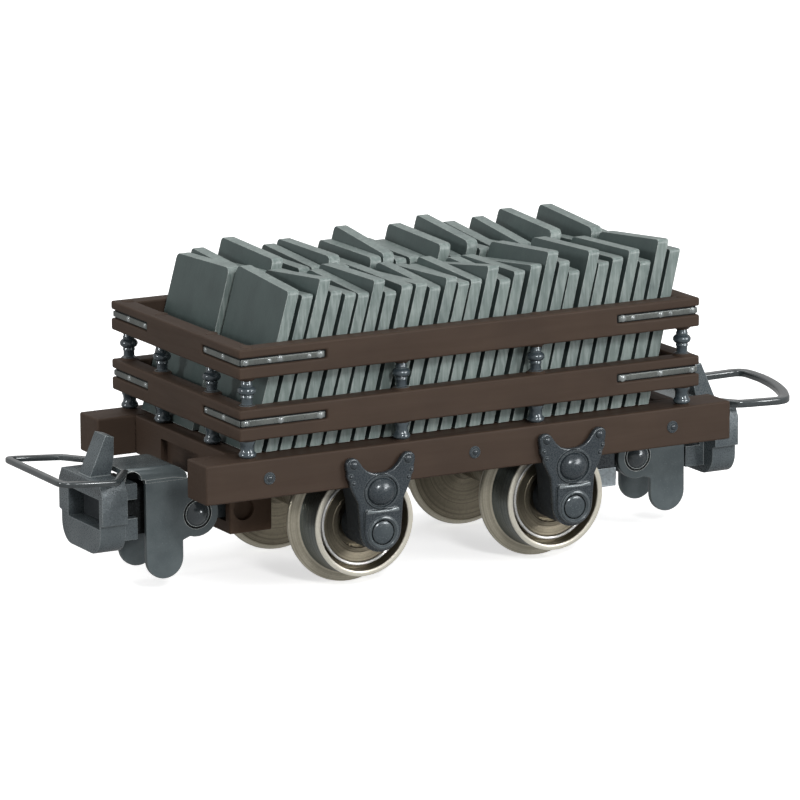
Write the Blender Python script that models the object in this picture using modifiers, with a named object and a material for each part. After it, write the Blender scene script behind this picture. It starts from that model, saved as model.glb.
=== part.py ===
"""Narrow-gauge model slate wagon: timber frame, railed sides, slate load, wheelsets and couplers.

Every piece is its own object, in metres, +Z up. +X runs along the wagon, and -Y is the near side.
The origin lies on the rail plane, under the middle of the wagon.
"""

import math

import bmesh
import bpy
from mathutils import Matrix, Vector

MM = 0.001
NEAR, FAR = -1, 1
LEFT, RIGHT = -1, 1
SIDES = {"near": NEAR, "far": FAR}
ENDS = {"left": LEFT, "right": RIGHT}

# Driving dimensions, in millimetres.
WHEELBASE = 11.41
FLANGE_RADIUS = 3.51
TREAD_RADIUS = 2.87
WHEEL_BACK = 3.70  # half the back-to-back distance
WHEEL_FACE = 5.98
AXLE_X = WHEELBASE / 2
AXLE_Z = FLANGE_RADIUS
AXLE_RADIUS = 0.725
JOURNAL_RADIUS = 0.28
SHOULDER_Y = 5.10
RUNNING_GAP = 0.04
TOUCH_GAP = 0.03
CUT_PAST = 0.2  # how far a cutter runs past the face that it opens

FRAME_HALF_LENGTH = 15.57
FRAME_HALF_WIDTH = 7.454
SOLEBAR_THICKNESS = 2.20
FRAME_BOTTOM = 5.83
FRAME_TOP = 7.90
SOLEBAR_INNER = FRAME_HALF_WIDTH - SOLEBAR_THICKNESS
WHEEL_POCKET_Y = 6.15
WHEEL_POCKET_TOP = 6.80
HEADSTOCK_OUTER = 13.38
HEADSTOCK_INNER = 12.15
RECESS_HALF_WIDTH = 2.20
RECESS_TOP = 7.25
RECESS_DEPTH = 0.42
DECK_BOTTOM = 7.20
SOLEBAR_BOLT_X = 11.97
SOLEBAR_BOLT_Z = 6.89

RING_HALF_LENGTH = 13.634
RING_INNER_X = 12.585
RING_INNER_Y = 6.40
RINGS = {"lower": (8.93, 10.58), "upper": (12.14, 13.70)}
SLOT_DEPTH = 0.24
SLOT_HEIGHT = 0.46
SLOT_RISE = 0.09  # slot centre above the rail's centre
SLOT_END_X = 8.60
SLOT_END_Y = 3.20
STRAP_HEIGHT = 0.34
STRAP_THICKNESS = 0.15
STRAP_INSET = 0.04

POST_X = 12.90
POST_Y = 6.84
SIDE_POST_X = 3.99
END_POST_Y = 2.885
POST_RADIUS = 0.27
COLLAR_RADIUS = 0.48
COLLAR_Z = 11.45
FOOT_TOP_RADIUS = 0.44
FOOT_BASE_RADIUS = 0.28
BOSS_RADIUS = 0.52
BOSS_HEIGHT = 0.16
SPIGOT_BOTTOM = 7.50
POST_TOP = 13.86

SLATES_PER_ROW = 28
SLATE_PITCH = 0.838
SLATE_THICKNESS = 0.66
SLATE_LEAN = math.radians(15.5)
SLATE_FOOT_X = {"near": -12.39, "far": -12.41}
SLATE_OUTER_Y = 6.20
SLATE_INNER_Y = 0.12
SLATE_BOTTOM = FRAME_TOP + TOUCH_GAP
CORE_INSET = 0.20
CORE_HEIGHT = 6.30
SLATE_HEIGHT = 7.8
SLATE_SPREAD = 0.22  # how far an ordinary slate's corners stray from that height
# The slates that stand out, by place in the row: rise of the outer and inner top corners.
TALL_SLATES = {
    "near": {
        0: (0.4, 0.8), 2: (0.9, 0.4), 6: (0.5, 0.4), 14: (0.6, -0.2), 17: (0.4, -0.2),
        18: (1.0, 0.6), 19: (0.4, 0.2), 21: (0.8, 0.6), 23: (0.3, 0.1), 24: (0.6, 0.4),
        26: (1.0, 0.5), 27: (0.4, 0.2),
    },
    "far": {
        0: (0.4, 0.6), 1: (0.6, 0.2), 3: (1.0, 0.8), 6: (0.4, 0.1), 7: (0.6, 0.6),
        10: (0.3, 0.3), 11: (1.0, 0.4), 15: (0.8, 0.6), 17: (1.1, 0.6), 19: (0.6, 0.1),
        21: (0.7, 0.1), 23: (1.0, 0.7), 26: (1.0, 0.6), 27: (0.5, 0.2),
    },
}

GUARD_FACE = 7.85
GUARD_BODY_INNER = 6.15
GUARD_BOSS_INNER = 5.40
GUARD_BOSS_RADIUS = 1.12
GUARD_BODY_TOP = FRAME_BOTTOM - TOUCH_GAP - AXLE_Z
BEARING_DEPTH_Y = 6.95

PIVOT_X = 10.20  # the coupler's vertical pivot
RIVET_X = 13.25  # the loop's horizontal pivot
RIVET_Z = 4.00
RIVET_RADIUS = 0.30
PLATE_INNER = 1.45
PLATE_OUTER = 1.75
RIVET_HEAD_RADIUS = 0.66
RIVET_HEAD_Y = 1.98
POCKET_FRONT = 11.42
POCKET_REAR = 8.95
POCKET_HALF_WIDTH = 1.80
POCKET_BOTTOM = 2.66
POCKET_SLOT = (3.30, 4.20)
POCKET_SLOT_HALF_WIDTH = 1.35
POCKET_SLOT_REAR = 9.12
PIVOT_RADIUS = 0.36
HEAD_FRONT = 19.10
HEAD_REAR = 17.65
LOOP_Z = (6.47, 6.77)
LOOP_HALF_WIDTH = 3.60
LOOP_STRIP = 0.42
LOOP_CORNER = 0.50
TOP_FRONT = 17.36
TOP_REAR = 13.79
TOP_Z = 6.70
TOP_BEND_Y = 1.26  # centre of the bend between the loop's top and its side plates
TOP_BEND_Z = 6.22
TOP_EDGE_Z = 5.90
# Each loop's reach at its middle, its bow and skew, and how its front rises and twists.
LOOP_SHAPES = {
    "left": {"reach": 21.88, "bow": 0.0, "skew": 0.0, "rise": 0.03, "twist": 0.0},
    "right": {"reach": 22.64, "bow": 0.70, "skew": 0.20, "rise": -0.006, "twist": 0.004},
}

WHEEL_STEPS = 32
ROUND_STEPS = 10


def clear_scene():
    for item in list(bpy.data.objects):
        bpy.data.objects.remove(item, do_unlink=True)


def new_collection(name):
    collection = bpy.data.collections.new(name)
    bpy.context.scene.collection.children.link(collection)
    return collection


def make_material(name, color, roughness, metallic=0.0):
    material = bpy.data.materials.new(name)
    material.use_nodes = True
    shader = material.node_tree.nodes["Principled BSDF"]
    shader.inputs["Base Color"].default_value = (*color, 1.0)
    shader.inputs["Roughness"].default_value = roughness
    shader.inputs["Metallic"].default_value = metallic
    return material


def link_part(item, finish):
    """Puts a finished piece in the wagon's collection, with its own copy of the material."""
    WAGON.objects.link(item)
    material = FINISHES[finish].copy()
    material.name = item.name
    item.data.materials.clear()
    item.data.materials.append(material)
    return item


def link_tool(item):
    """Puts a construction solid out of sight, for a Boolean to use."""
    CONSTRUCTION.objects.link(item)
    item.hide_render = True
    item.display_type = "WIRE"
    return item


def millimetres(point):
    return Vector(point) * MM


def object_from(bm, name, location=(0, 0, 0)):
    mesh = bpy.data.meshes.new(name)
    bm.to_mesh(mesh)
    bm.free()
    item = bpy.data.objects.new(name, mesh)
    item.location = millimetres(location)
    return item


def box(name, low, high):
    """A box between two corners, with its origin at its centre."""
    low, high = Vector(low), Vector(high)
    size = (high - low) * MM
    bm = bmesh.new()
    bmesh.ops.create_cube(bm, size=1.0, matrix=Matrix.Diagonal((*size, 1.0)))
    return object_from(bm, name, (low + high) / 2)


def cylinder(name, start, end, radius, end_radius=None, segments=ROUND_STEPS):
    """A cylinder or a cone between the centres of its two ends."""
    start, end = Vector(start), Vector(end)
    along = end - start
    bm = bmesh.new()
    bmesh.ops.create_cone(
        bm,
        cap_ends=True,
        segments=segments,
        radius1=radius * MM,
        radius2=(radius if end_radius is None else end_radius) * MM,
        depth=along.length * MM,
        matrix=along.to_track_quat("Z", "Y").to_matrix().to_4x4(),
    )
    return object_from(bm, name, (start + end) / 2)


def dome(name, centre, radii, segments=10, rings=6):
    bm = bmesh.new()
    scale = Matrix.Diagonal((*(radius * MM for radius in radii), 1.0))
    bmesh.ops.create_uvsphere(bm, u_segments=segments, v_segments=rings, radius=1.0, matrix=scale)
    return object_from(bm, name, centre)


def turned(name, profile, location, rotation, steps, closed=False):
    """A turned piece: (radius, height) points, running down the outer side, swept by a Screw."""
    bm = bmesh.new()
    points = [bm.verts.new((radius * MM, 0, height * MM)) for radius, height in profile]
    ends = points[1:] + points[:1] if closed else points[1:]
    for first, second in zip(points, ends):
        bm.edges.new((first, second))
    item = object_from(bm, name, location)
    item.rotation_euler = rotation
    screw = item.modifiers.new("Turn", "SCREW")
    screw.steps = steps
    screw.render_steps = steps
    screw.use_merge_vertices = True
    screw.merge_threshold = 1e-6
    screw.use_smooth_shade = True
    return item


def arc(centre, radius, start, end, steps):
    """Points on a circle between two angles in degrees, both included."""
    angles = [math.radians(start + (end - start) * step / steps) for step in range(steps + 1)]
    return [(centre[0] + radius * math.cos(a), centre[1] + radius * math.sin(a)) for a in angles]


def mirrored(half):
    """A closed outline from its +X half, by adding the half's mirror image in reverse order."""
    return half + [(-x, y) for x, y in reversed(half) if abs(x) > 1e-9]


def flat_plate(name, outlines, start, end, plane):
    """Flat outlines in the XY, XZ or YZ plane, made solid between two heights on the third axis.

    The first outline is the outer edge and any others are holes. The filled curve becomes a mesh
    with welded caps, so that Booleans can use it.
    """
    curve = bpy.data.curves.new(name, "CURVE")
    curve.dimensions = "2D"
    curve.fill_mode = "BOTH"
    curve.extrude = (end - start) * MM / 2
    for outline in outlines:
        spline = curve.splines.new("POLY")
        spline.points.add(len(outline) - 1)
        for point, (x, y) in zip(spline.points, outline):
            point.co = (x * MM, y * MM, 0, 1)
        spline.use_cyclic_u = True
    flat = bpy.data.objects.new(name, curve)
    CONSTRUCTION.objects.link(flat)
    turn = {
        "XY": Matrix.Identity(4),
        "XZ": Matrix.Rotation(math.radians(90), 4, "X"),
        "YZ": Matrix(((0, 0, 1, 0), (1, 0, 0, 0), (0, 1, 0, 0), (0, 0, 0, 1))),
    }[plane]
    middle = (start + end) / 2 * MM
    # A quarter turn about X sends the curve's own +Z to -Y.
    lift = {"XY": (0, 0, middle), "XZ": (0, middle, 0), "YZ": (middle, 0, 0)}[plane]
    flat.matrix_world = Matrix.Translation(lift) @ turn
    bpy.context.view_layer.update()
    evaluated = flat.evaluated_get(bpy.context.evaluated_depsgraph_get())
    mesh = bpy.data.meshes.new_from_object(evaluated)
    mesh.transform(turn)
    bm = bmesh.new()
    bm.from_mesh(mesh)
    bmesh.ops.remove_doubles(bm, verts=bm.verts, dist=1e-7)
    bmesh.ops.recalc_face_normals(bm, faces=bm.faces)
    bm.to_mesh(mesh)
    bm.free()
    solid = bpy.data.objects.new(name, mesh)
    solid.location = lift
    bpy.data.objects.remove(flat)
    bpy.data.curves.remove(curve)
    solid.name = name
    return solid


def combine(target, tool, operation):
    link_tool(tool)
    modifier = target.modifiers.new(tool.name, "BOOLEAN")
    modifier.operation = operation
    modifier.solver = "EXACT"
    modifier.object = tool


def cut(target, tool):
    combine(target, tool, "DIFFERENCE")


def join(target, tool):
    combine(target, tool, "UNION")


def soften(item, width):
    bevel = item.modifiers.new("Edges", "BEVEL")
    bevel.width = width * MM
    bevel.segments = 1
    bevel.limit_method = "ANGLE"


def post_places():
    """The name and the X, Y place of each stanchion."""
    for end, x_sign in ENDS.items():
        for side, y_sign in SIDES.items():
            yield f"corner_stanchion_{end}_{side}", x_sign * POST_X, y_sign * POST_Y
            yield f"side_stanchion_{end}_{side}", x_sign * SIDE_POST_X, y_sign * POST_Y
            yield f"end_stanchion_{end}_{side}", x_sign * POST_X, y_sign * END_POST_Y


def posts_through(low_x, high_x, low_y, high_y):
    """The stanchion places inside a rectangle."""
    return [
        (x, y) for _, x, y in post_places() if low_x < x < high_x and low_y < y < high_y
    ]


def bore_posts(target, places, bottom, top):
    for x, y in places:
        start, end = (x, y, bottom), (x, y, top)
        radius = POST_RADIUS + RUNNING_GAP
        cut(target, cylinder(f"bore_{target.name}", start, end, radius, segments=8))


def add_bosses(target, places, height):
    """A low cone round each stanchion on a rail, sunk a little into the timber."""
    for x, y in places:
        start, end = (x, y, height - BOSS_HEIGHT), (x, y, height + BOSS_HEIGHT)
        top_radius = POST_RADIUS + 0.12
        join(target, cylinder(f"boss_{target.name}", start, end, BOSS_RADIUS, top_radius))


def make_solebars():
    for side, sign in SIDES.items():
        inner, outer = sorted((sign * SOLEBAR_INNER, sign * FRAME_HALF_WIDTH))
        bar = box(
            f"solebar_{side}",
            (-FRAME_HALF_LENGTH, inner, FRAME_BOTTOM),
            (FRAME_HALF_LENGTH, outer, FRAME_TOP),
        )
        soften(bar, 0.12)
        for end_sign in ENDS.values():
            pocket_low, pocket_high = sorted(
                (sign * (SOLEBAR_INNER - CUT_PAST), sign * WHEEL_POCKET_Y)
            )
            half = FLANGE_RADIUS - 0.1
            cut(
                bar,
                box(
                    f"wheel_pocket_{side}",
                    (end_sign * AXLE_X - half, pocket_low, FRAME_BOTTOM - CUT_PAST),
                    (end_sign * AXLE_X + half, pocket_high, WHEEL_POCKET_TOP),
                ),
            )
        for x in (-SOLEBAR_BOLT_X, 0, SOLEBAR_BOLT_X):
            start = (x, sign * (FRAME_HALF_WIDTH - 0.1), SOLEBAR_BOLT_Z)
            end = (x, sign * (FRAME_HALF_WIDTH + 0.12), SOLEBAR_BOLT_Z)
            join(bar, cylinder(f"bolt_{side}", start, end, 0.28, 0.2, segments=8))
        places = posts_through(-20, 20, inner, outer)
        bore_posts(bar, places, SPIGOT_BOTTOM - 0.05, FRAME_TOP + CUT_PAST)
        link_part(bar, "timber")


def make_headstocks_and_deck():
    half = SOLEBAR_INNER - TOUCH_GAP
    for end, sign in ENDS.items():
        low_x, high_x = sorted((sign * HEADSTOCK_INNER, sign * HEADSTOCK_OUTER))
        bar = box(f"headstock_{end}", (low_x, -half, FRAME_BOTTOM), (high_x, half, FRAME_TOP))
        recess_low, recess_high = sorted(
            (sign * (HEADSTOCK_OUTER - RECESS_DEPTH), sign * (HEADSTOCK_OUTER + CUT_PAST))
        )
        recess = box(
            f"coupler_recess_{end}",
            (recess_low, -RECESS_HALF_WIDTH, FRAME_BOTTOM - CUT_PAST),
            (recess_high, RECESS_HALF_WIDTH, RECESS_TOP),
        )
        cut(bar, recess)
        places = posts_through(low_x, high_x, -half, half)
        bore_posts(bar, places, SPIGOT_BOTTOM - 0.05, FRAME_TOP + CUT_PAST)
        link_part(bar, "timber")
    length = HEADSTOCK_INNER - TOUCH_GAP
    link_part(
        box("floor_deck", (-length, -half, DECK_BOTTOM), (length, half, FRAME_TOP)), "timber"
    )
    weight_half = AXLE_X - FLANGE_RADIUS - 0.25
    weight = box(
        "ballast_weight",
        (-weight_half, -half + 0.3, FRAME_BOTTOM + 0.1),
        (weight_half, half - 0.3, DECK_BOTTOM - TOUCH_GAP),
    )
    soften(weight, 0.1)
    link_part(weight, "steel")


def slot_heights(ring):
    low, high = RINGS[ring]
    centre = (low + high) / 2 + SLOT_RISE
    return centre - SLOT_HEIGHT / 2, centre + SLOT_HEIGHT / 2


def corner_slot_cutters(name, ring, x_sign, y_sign):
    """Two boxes that cut one corner's strap slot, along the side and round onto the end."""
    low, high = slot_heights(ring)
    past_x, past_y = RING_HALF_LENGTH + CUT_PAST, FRAME_HALF_WIDTH + CUT_PAST
    side_x = sorted((x_sign * SLOT_END_X, x_sign * past_x))
    side_y = sorted((y_sign * (FRAME_HALF_WIDTH - SLOT_DEPTH), y_sign * past_y))
    end_x = sorted((x_sign * (RING_HALF_LENGTH - SLOT_DEPTH), x_sign * past_x))
    end_y = sorted((y_sign * SLOT_END_Y, y_sign * past_y))
    return (
        box(f"side_slot_{name}", (side_x[0], side_y[0], low), (side_x[1], side_y[1], high)),
        box(f"end_slot_{name}", (end_x[0], end_y[0], low), (end_x[1], end_y[1], high)),
    )


def make_side_rail(ring, side, sign):
    low, high = RINGS[ring]
    inner, outer = sorted((sign * RING_INNER_Y, sign * FRAME_HALF_WIDTH))
    rail = box(
        f"{ring}_side_rail_{side}",
        (-RING_HALF_LENGTH, inner, low),
        (RING_HALF_LENGTH, outer, high),
    )
    for x_sign in ENDS.values():
        for tool in corner_slot_cutters(rail.name, ring, x_sign, sign):
            cut(rail, tool)
    places = posts_through(-20, 20, inner, outer)
    if ring == "lower":
        add_bosses(rail, places, high)
    bore_posts(rail, places, low - CUT_PAST, high + 2 * BOSS_HEIGHT)
    link_part(rail, "timber")


def make_end_rail(ring, end, sign):
    low, high = RINGS[ring]
    inner, outer = sorted((sign * RING_INNER_X, sign * RING_HALF_LENGTH))
    half = RING_INNER_Y - TOUCH_GAP
    rail = box(f"{ring}_end_rail_{end}", (inner, -half, low), (outer, half, high))
    for y_sign in SIDES.values():
        cut(rail, corner_slot_cutters(rail.name, ring, sign, y_sign)[1])
    places = posts_through(inner, outer, -half, half)
    if ring == "lower":
        add_bosses(rail, places, high)
    bore_posts(rail, places, low - CUT_PAST, high + 2 * BOSS_HEIGHT)
    link_part(rail, "timber")


def make_strap(ring, end, side):
    """An L-shaped iron strap, lying in the slot round one corner of a ring."""
    x_sign, y_sign = ENDS[end], SIDES[side]
    outer_x, outer_y = RING_HALF_LENGTH - STRAP_INSET, FRAME_HALF_WIDTH - STRAP_INSET
    inner_x, inner_y = outer_x - STRAP_THICKNESS, outer_y - STRAP_THICKNESS
    tip_x, tip_y = SLOT_END_X + 0.12, SLOT_END_Y + 0.12
    corner = [
        (tip_x, outer_y),
        (outer_x, outer_y),
        (outer_x, tip_y),
        (inner_x, tip_y),
        (inner_x, inner_y),
        (tip_x, inner_y),
    ]
    outline = [(x_sign * x, y_sign * y) for x, y in corner]
    low, high = slot_heights(ring)
    middle = (low + high) / 2
    strap = flat_plate(
        f"{ring}_corner_strap_{end}_{side}",
        [outline],
        middle - STRAP_HEIGHT / 2,
        middle + STRAP_HEIGHT / 2,
        "XY",
    )
    link_part(strap, "iron")


def make_rails_and_straps():
    for ring in RINGS:
        for side, sign in SIDES.items():
            make_side_rail(ring, side, sign)
        for end, sign in ENDS.items():
            make_end_rail(ring, end, sign)
        for end in ENDS:
            for side in SIDES:
                make_strap(ring, end, side)


def make_stanchions():
    """One turned profile: spigot, cup-shaped foot, rod, collar between the rings, domed top."""
    foot_top = RINGS["lower"][0] - TOUCH_GAP
    profile = [
        (0, POST_TOP),
        (POST_RADIUS * 0.7, POST_TOP - 0.06),
        (POST_RADIUS, POST_TOP - 0.2),
        (POST_RADIUS, COLLAR_Z + 0.27),
        (COLLAR_RADIUS, COLLAR_Z + 0.1),
        (COLLAR_RADIUS, COLLAR_Z - 0.1),
        (POST_RADIUS, COLLAR_Z - 0.27),
        (POST_RADIUS, foot_top),
        (FOOT_TOP_RADIUS, foot_top),
        (FOOT_TOP_RADIUS, FRAME_TOP + 0.50),
        (FOOT_BASE_RADIUS, FRAME_TOP + TOUCH_GAP),
        (POST_RADIUS - TOUCH_GAP, FRAME_TOP + TOUCH_GAP),
        (POST_RADIUS - TOUCH_GAP, SPIGOT_BOTTOM),
        (0, SPIGOT_BOTTOM),
    ]
    for name, x, y in post_places():
        post = turned(name, profile, (x, y, 0), (0, 0, 0), steps=8)
        link_part(post, "iron")


def slate_heights(side, index):
    """The height of one slate's outer and inner top corner."""
    tall = TALL_SLATES[side].get(index)
    if tall:
        return [SLATE_HEIGHT + rise for rise in tall]
    phase = 2.4 * index + (1.0 if side == "far" else 0.0)
    return [SLATE_HEIGHT + SLATE_SPREAD * math.sin(phase + turn) for turn in (0.0, 2.0)]


def slate_box(bm, foot, heights, inner, outer):
    """Adds one leaning slate whose top edge falls from one corner height to the other."""
    outer_height, inner_height = heights
    width = outer - inner
    made = bmesh.ops.create_cube(bm, size=1.0)
    for vert in made["verts"]:
        at_outer = vert.co.y > 0
        height = (outer_height if at_outer else inner_height) if vert.co.z > 0 else 0
        x = foot + (SLATE_THICKNESS if vert.co.x > 0 else 0) + height * math.tan(SLATE_LEAN)
        y = inner + (width if at_outer else 0)
        vert.co = millimetres((x, y, SLATE_BOTTOM + height))


def make_slate_stack(side, sign):
    """A row of slates, held together by a core that fills their gaps short of the edges."""
    bm = bmesh.new()
    first = SLATE_FOOT_X[side]
    for index in range(SLATES_PER_ROW):
        heights = slate_heights(side, index)
        slate_box(bm, first + index * SLATE_PITCH, heights, SLATE_INNER_Y, SLATE_OUTER_Y)
    last = first + (SLATES_PER_ROW - 1) * SLATE_PITCH
    core = bmesh.new()
    cube = bmesh.ops.create_cube(core, size=1.0)
    for vert in cube["verts"]:
        height = CORE_HEIGHT if vert.co.z > 0 else CORE_INSET
        foot = (last if vert.co.x > 0 else first) + SLATE_THICKNESS / 2
        y = SLATE_OUTER_Y - CORE_INSET if vert.co.y > 0 else SLATE_INNER_Y + CORE_INSET
        x = foot + height * math.tan(SLATE_LEAN)
        vert.co = millimetres((x, y, SLATE_BOTTOM + height))
    if sign < 0:
        for mesh in (bm, core):
            bmesh.ops.scale(mesh, verts=mesh.verts, vec=(1, -1, 1))
            bmesh.ops.reverse_faces(mesh, faces=mesh.faces)
    stack = object_from(core, f"slate_stack_{side}")
    join(stack, object_from(bm, f"slates_{side}"))
    link_part(stack, "slate")


def guard_outline():
    """The axleguard's plate in X and Z about the axle: round foot, waist, two ears and a U between."""
    foot = arc((0, 0), 1.18, -90, 0, 4)
    ear = [(1.30, 1.50), (1.64, 2.20), (1.80, 2.70), (1.92, 3.20), (1.94, 3.66), (1.76, 3.90)]
    notch = [(1.42, 3.90), (1.24, 3.70), (1.00, 3.38), (0.70, 3.13), (0.35, 3.02), (0, 3.00)]
    return mirrored(foot + ear + notch)


def make_axleguard(end, side):
    """Built about its axle with its face towards -Y, then turned to its own side."""
    name = f"axleguard_{end}_{side}"
    guard = flat_plate(
        name, [guard_outline()], -GUARD_FACE, -(FRAME_HALF_WIDTH + TOUCH_GAP), "XZ"
    )
    body = mirrored(arc((0, 0), 1.15, -90, 0, 4) + [(1.28, 1.50), (1.50, GUARD_BODY_TOP)])
    box_front = mirrored(arc((0, 0), 1.02, -90, 0, 4) + [(0.98, 1.07)])
    tools = (
        flat_plate(f"body_{name}", [body], -GUARD_FACE + 0.1, -GUARD_BODY_INNER, "XZ"),
        flat_plate(f"axlebox_{name}", [box_front], -GUARD_FACE - 0.15, -GUARD_FACE + 0.1, "XZ"),
        cylinder(
            f"inner_boss_{name}",
            (0, -GUARD_BODY_INNER - 0.2, 0),
            (0, -GUARD_BOSS_INNER, 0),
            GUARD_BOSS_RADIUS,
            segments=12,
        ),
        cylinder(
            f"cover_{name}",
            (0, -GUARD_FACE, -0.1),
            (0, -GUARD_FACE - 0.26, -0.1),
            0.86,
            0.80,
            segments=12,
        ),
        dome(f"dome_{name}", (0, -GUARD_FACE, 2.02), (0.82, 0.42, 0.76)),
    )
    for tool in tools:
        join(guard, tool)
    for x in (-1.56, 1.56):
        start, finish = (x, -GUARD_FACE + 0.05, 3.62), (x, -GUARD_FACE - 0.14, 3.62)
        join(guard, cylinder(f"ear_bolt_{name}", start, finish, 0.22, 0.16, segments=8))
    bore_start, bore_end = (0, -GUARD_BOSS_INNER + CUT_PAST, 0), (0, -BEARING_DEPTH_Y, 0)
    cut(guard, cylinder(f"bearing_{name}", bore_start, bore_end, JOURNAL_RADIUS + RUNNING_GAP))
    place = Matrix.Translation(millimetres((ENDS[end] * AXLE_X, 0, AXLE_Z)))
    if SIDES[side] == FAR:
        place = place @ Matrix.Rotation(math.pi, 4, "Z")
    for item in [guard] + [modifier.object for modifier in guard.modifiers]:
        item.matrix_world = place @ Matrix.Translation(item.location)
    link_part(guard, "iron")


def wheel_profile():
    """(radius, distance outboard): rim face, tread, flange, back, bore, hub, web and groove."""
    return [
        (2.60, WHEEL_FACE),
        (TREAD_RADIUS - 0.02, WHEEL_FACE),
        (TREAD_RADIUS + 0.04, 4.42),
        (3.10, 4.28),
        (3.45, 4.14),
        (FLANGE_RADIUS, 4.00),
        (3.45, 3.84),
        (3.25, WHEEL_BACK),
        (AXLE_RADIUS + 0.02, WHEEL_BACK),
        (AXLE_RADIUS + 0.02, 4.95),
        (1.40, 4.95),
        (1.40, 5.52),
        (2.14, 5.60),
        (2.30, 5.66),
        (2.36, 5.56),
        (2.36, 5.05),
        (2.60, 5.05),
    ]


def make_wheelset(end, sign):
    centre = (sign * AXLE_X, 0, AXLE_Z)
    half = [(0, 6.80), (JOURNAL_RADIUS, 6.50), (JOURNAL_RADIUS, SHOULDER_Y)]
    half += [(AXLE_RADIUS, SHOULDER_Y)]
    profile = half + [(radius, -height) for radius, height in reversed(half)]
    axle = turned(f"axle_{end}", profile, centre, (math.pi / 2, 0, 0), steps=ROUND_STEPS)
    link_part(axle, "steel")
    for side, y_sign in SIDES.items():
        turn = (-y_sign * math.pi / 2, 0, 0)
        name = f"wheel_{end}_{side}"
        wheel = turned(name, wheel_profile(), centre, turn, WHEEL_STEPS, closed=True)
        link_part(wheel, "nickel")


def turn_to_end(items, end):
    """Pieces are built for the left end; at the right end they are turned half round."""
    if ENDS[end] == RIGHT:
        for item in items:
            item.matrix_world = Matrix.Rotation(math.pi, 4, "Z") @ item.matrix_basis


def tools_of(item):
    """The objects that an item's Booleans use, with the ones that those use in turn."""
    tools = [modifier.object for modifier in item.modifiers if modifier.type == "BOOLEAN"]
    return tools + [inner for tool in tools for inner in tools_of(tool)]


def place_with_tools(item, end, finish):
    turn_to_end([item] + tools_of(item), end)
    link_part(item, finish)


def make_pocket(end):
    """The block under the frame that holds the coupler's pivot, with a round hole in each side."""
    pocket = box(
        f"coupler_pocket_{end}",
        (-POCKET_FRONT, -POCKET_HALF_WIDTH, POCKET_BOTTOM),
        (-POCKET_REAR, POCKET_HALF_WIDTH, DECK_BOTTOM - TOUCH_GAP),
    )
    slot_low, slot_high = POCKET_SLOT
    cut(
        pocket,
        box(
            f"slot_{pocket.name}",
            (-POCKET_FRONT - CUT_PAST, -POCKET_SLOT_HALF_WIDTH, slot_low),
            (-POCKET_SLOT_REAR, POCKET_SLOT_HALF_WIDTH, slot_high),
        ),
    )
    past = POCKET_HALF_WIDTH + CUT_PAST
    hole_start, hole_end = (-10.60, -past, 3.95), (-10.60, past, 3.95)
    cut(pocket, cylinder(f"side_hole_{pocket.name}", hole_start, hole_end, 0.60))
    bore_start, bore_end = (-PIVOT_X, 0, POCKET_BOTTOM - CUT_PAST), (-PIVOT_X, 0, 5.60)
    bore = cylinder(f"pivot_bore_{pocket.name}", bore_start, bore_end, PIVOT_RADIUS + TOUCH_GAP)
    cut(pocket, bore)
    place_with_tools(pocket, end, "timber")
    pin_start, pin_end = (-PIVOT_X, 0, POCKET_BOTTOM + 0.04), (-PIVOT_X, 0, 5.50)
    pin = cylinder(f"coupler_pivot_pin_{end}", pin_start, pin_end, PIVOT_RADIUS)
    place_with_tools(pin, end, "steel")


def head_outline():
    """The buffer head from the front, in Y and Z: chamfered top, stepped sides, round bottom."""
    corner = arc((1.20, 3.60), 1.10, -90, 0, 5)
    return mirrored(corner + [(2.30, 4.08), (2.60, 4.16), (2.60, 5.75), (2.25, 6.36)])


def make_coupler(end):
    """The cast coupler: head with its socket, hook, shank and tail with the pivot's eye."""
    name = f"coupler_{end}"
    coupler = flat_plate(name, [head_outline()], -HEAD_FRONT, -HEAD_REAR, "YZ")
    hook = [(-18.90, 6.20), (-17.68, 6.20), (-17.46, 7.20), (-17.44, 8.34), (-17.92, 8.46)]
    shank = [(-17.80, 2.95), (-15.60, 2.95), (-15.60, 3.05), (-12.50, 3.05)]
    shank += [(-12.50, 4.95), (-15.40, 4.95), (-15.80, 5.95), (-17.80, 5.95)]
    tail = [(-12.80, 0.75), (-12.80, -0.75), (-PIVOT_X, -0.75)]
    tail += arc((-PIVOT_X, 0), 0.90, -56, 56, 6) + [(-PIVOT_X, 0.75)]
    low, high = POCKET_SLOT
    join(coupler, flat_plate(f"hook_{name}", [hook], -0.65, 0.65, "XZ"))
    join(coupler, flat_plate(f"shank_{name}", [shank], -1.38, 1.38, "XZ"))
    join(coupler, flat_plate(f"tail_{name}", [tail], low + 0.08, high - 0.08, "XY"))
    cut(coupler, box(f"socket_{name}", (-19.40, -2.20, 3.93), (-18.00, 1.50, 5.50)))
    cut(coupler, box(f"window_{name}", (-17.40, -1.60, 4.10), (-16.10, 1.60, 5.10)))
    rivet_start, rivet_end = (-RIVET_X, -1.60, RIVET_Z), (-RIVET_X, 1.60, RIVET_Z)
    rivet_bore = cylinder(f"rivet_bore_{name}", rivet_start, rivet_end, RIVET_RADIUS + TOUCH_GAP)
    cut(coupler, rivet_bore)
    eye_start, eye_end = (-PIVOT_X, 0, low - CUT_PAST), (-PIVOT_X, 0, high + CUT_PAST)
    cut(coupler, cylinder(f"eye_{name}", eye_start, eye_end, PIVOT_RADIUS + RUNNING_GAP))
    place_with_tools(coupler, end, "coupler")


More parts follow.
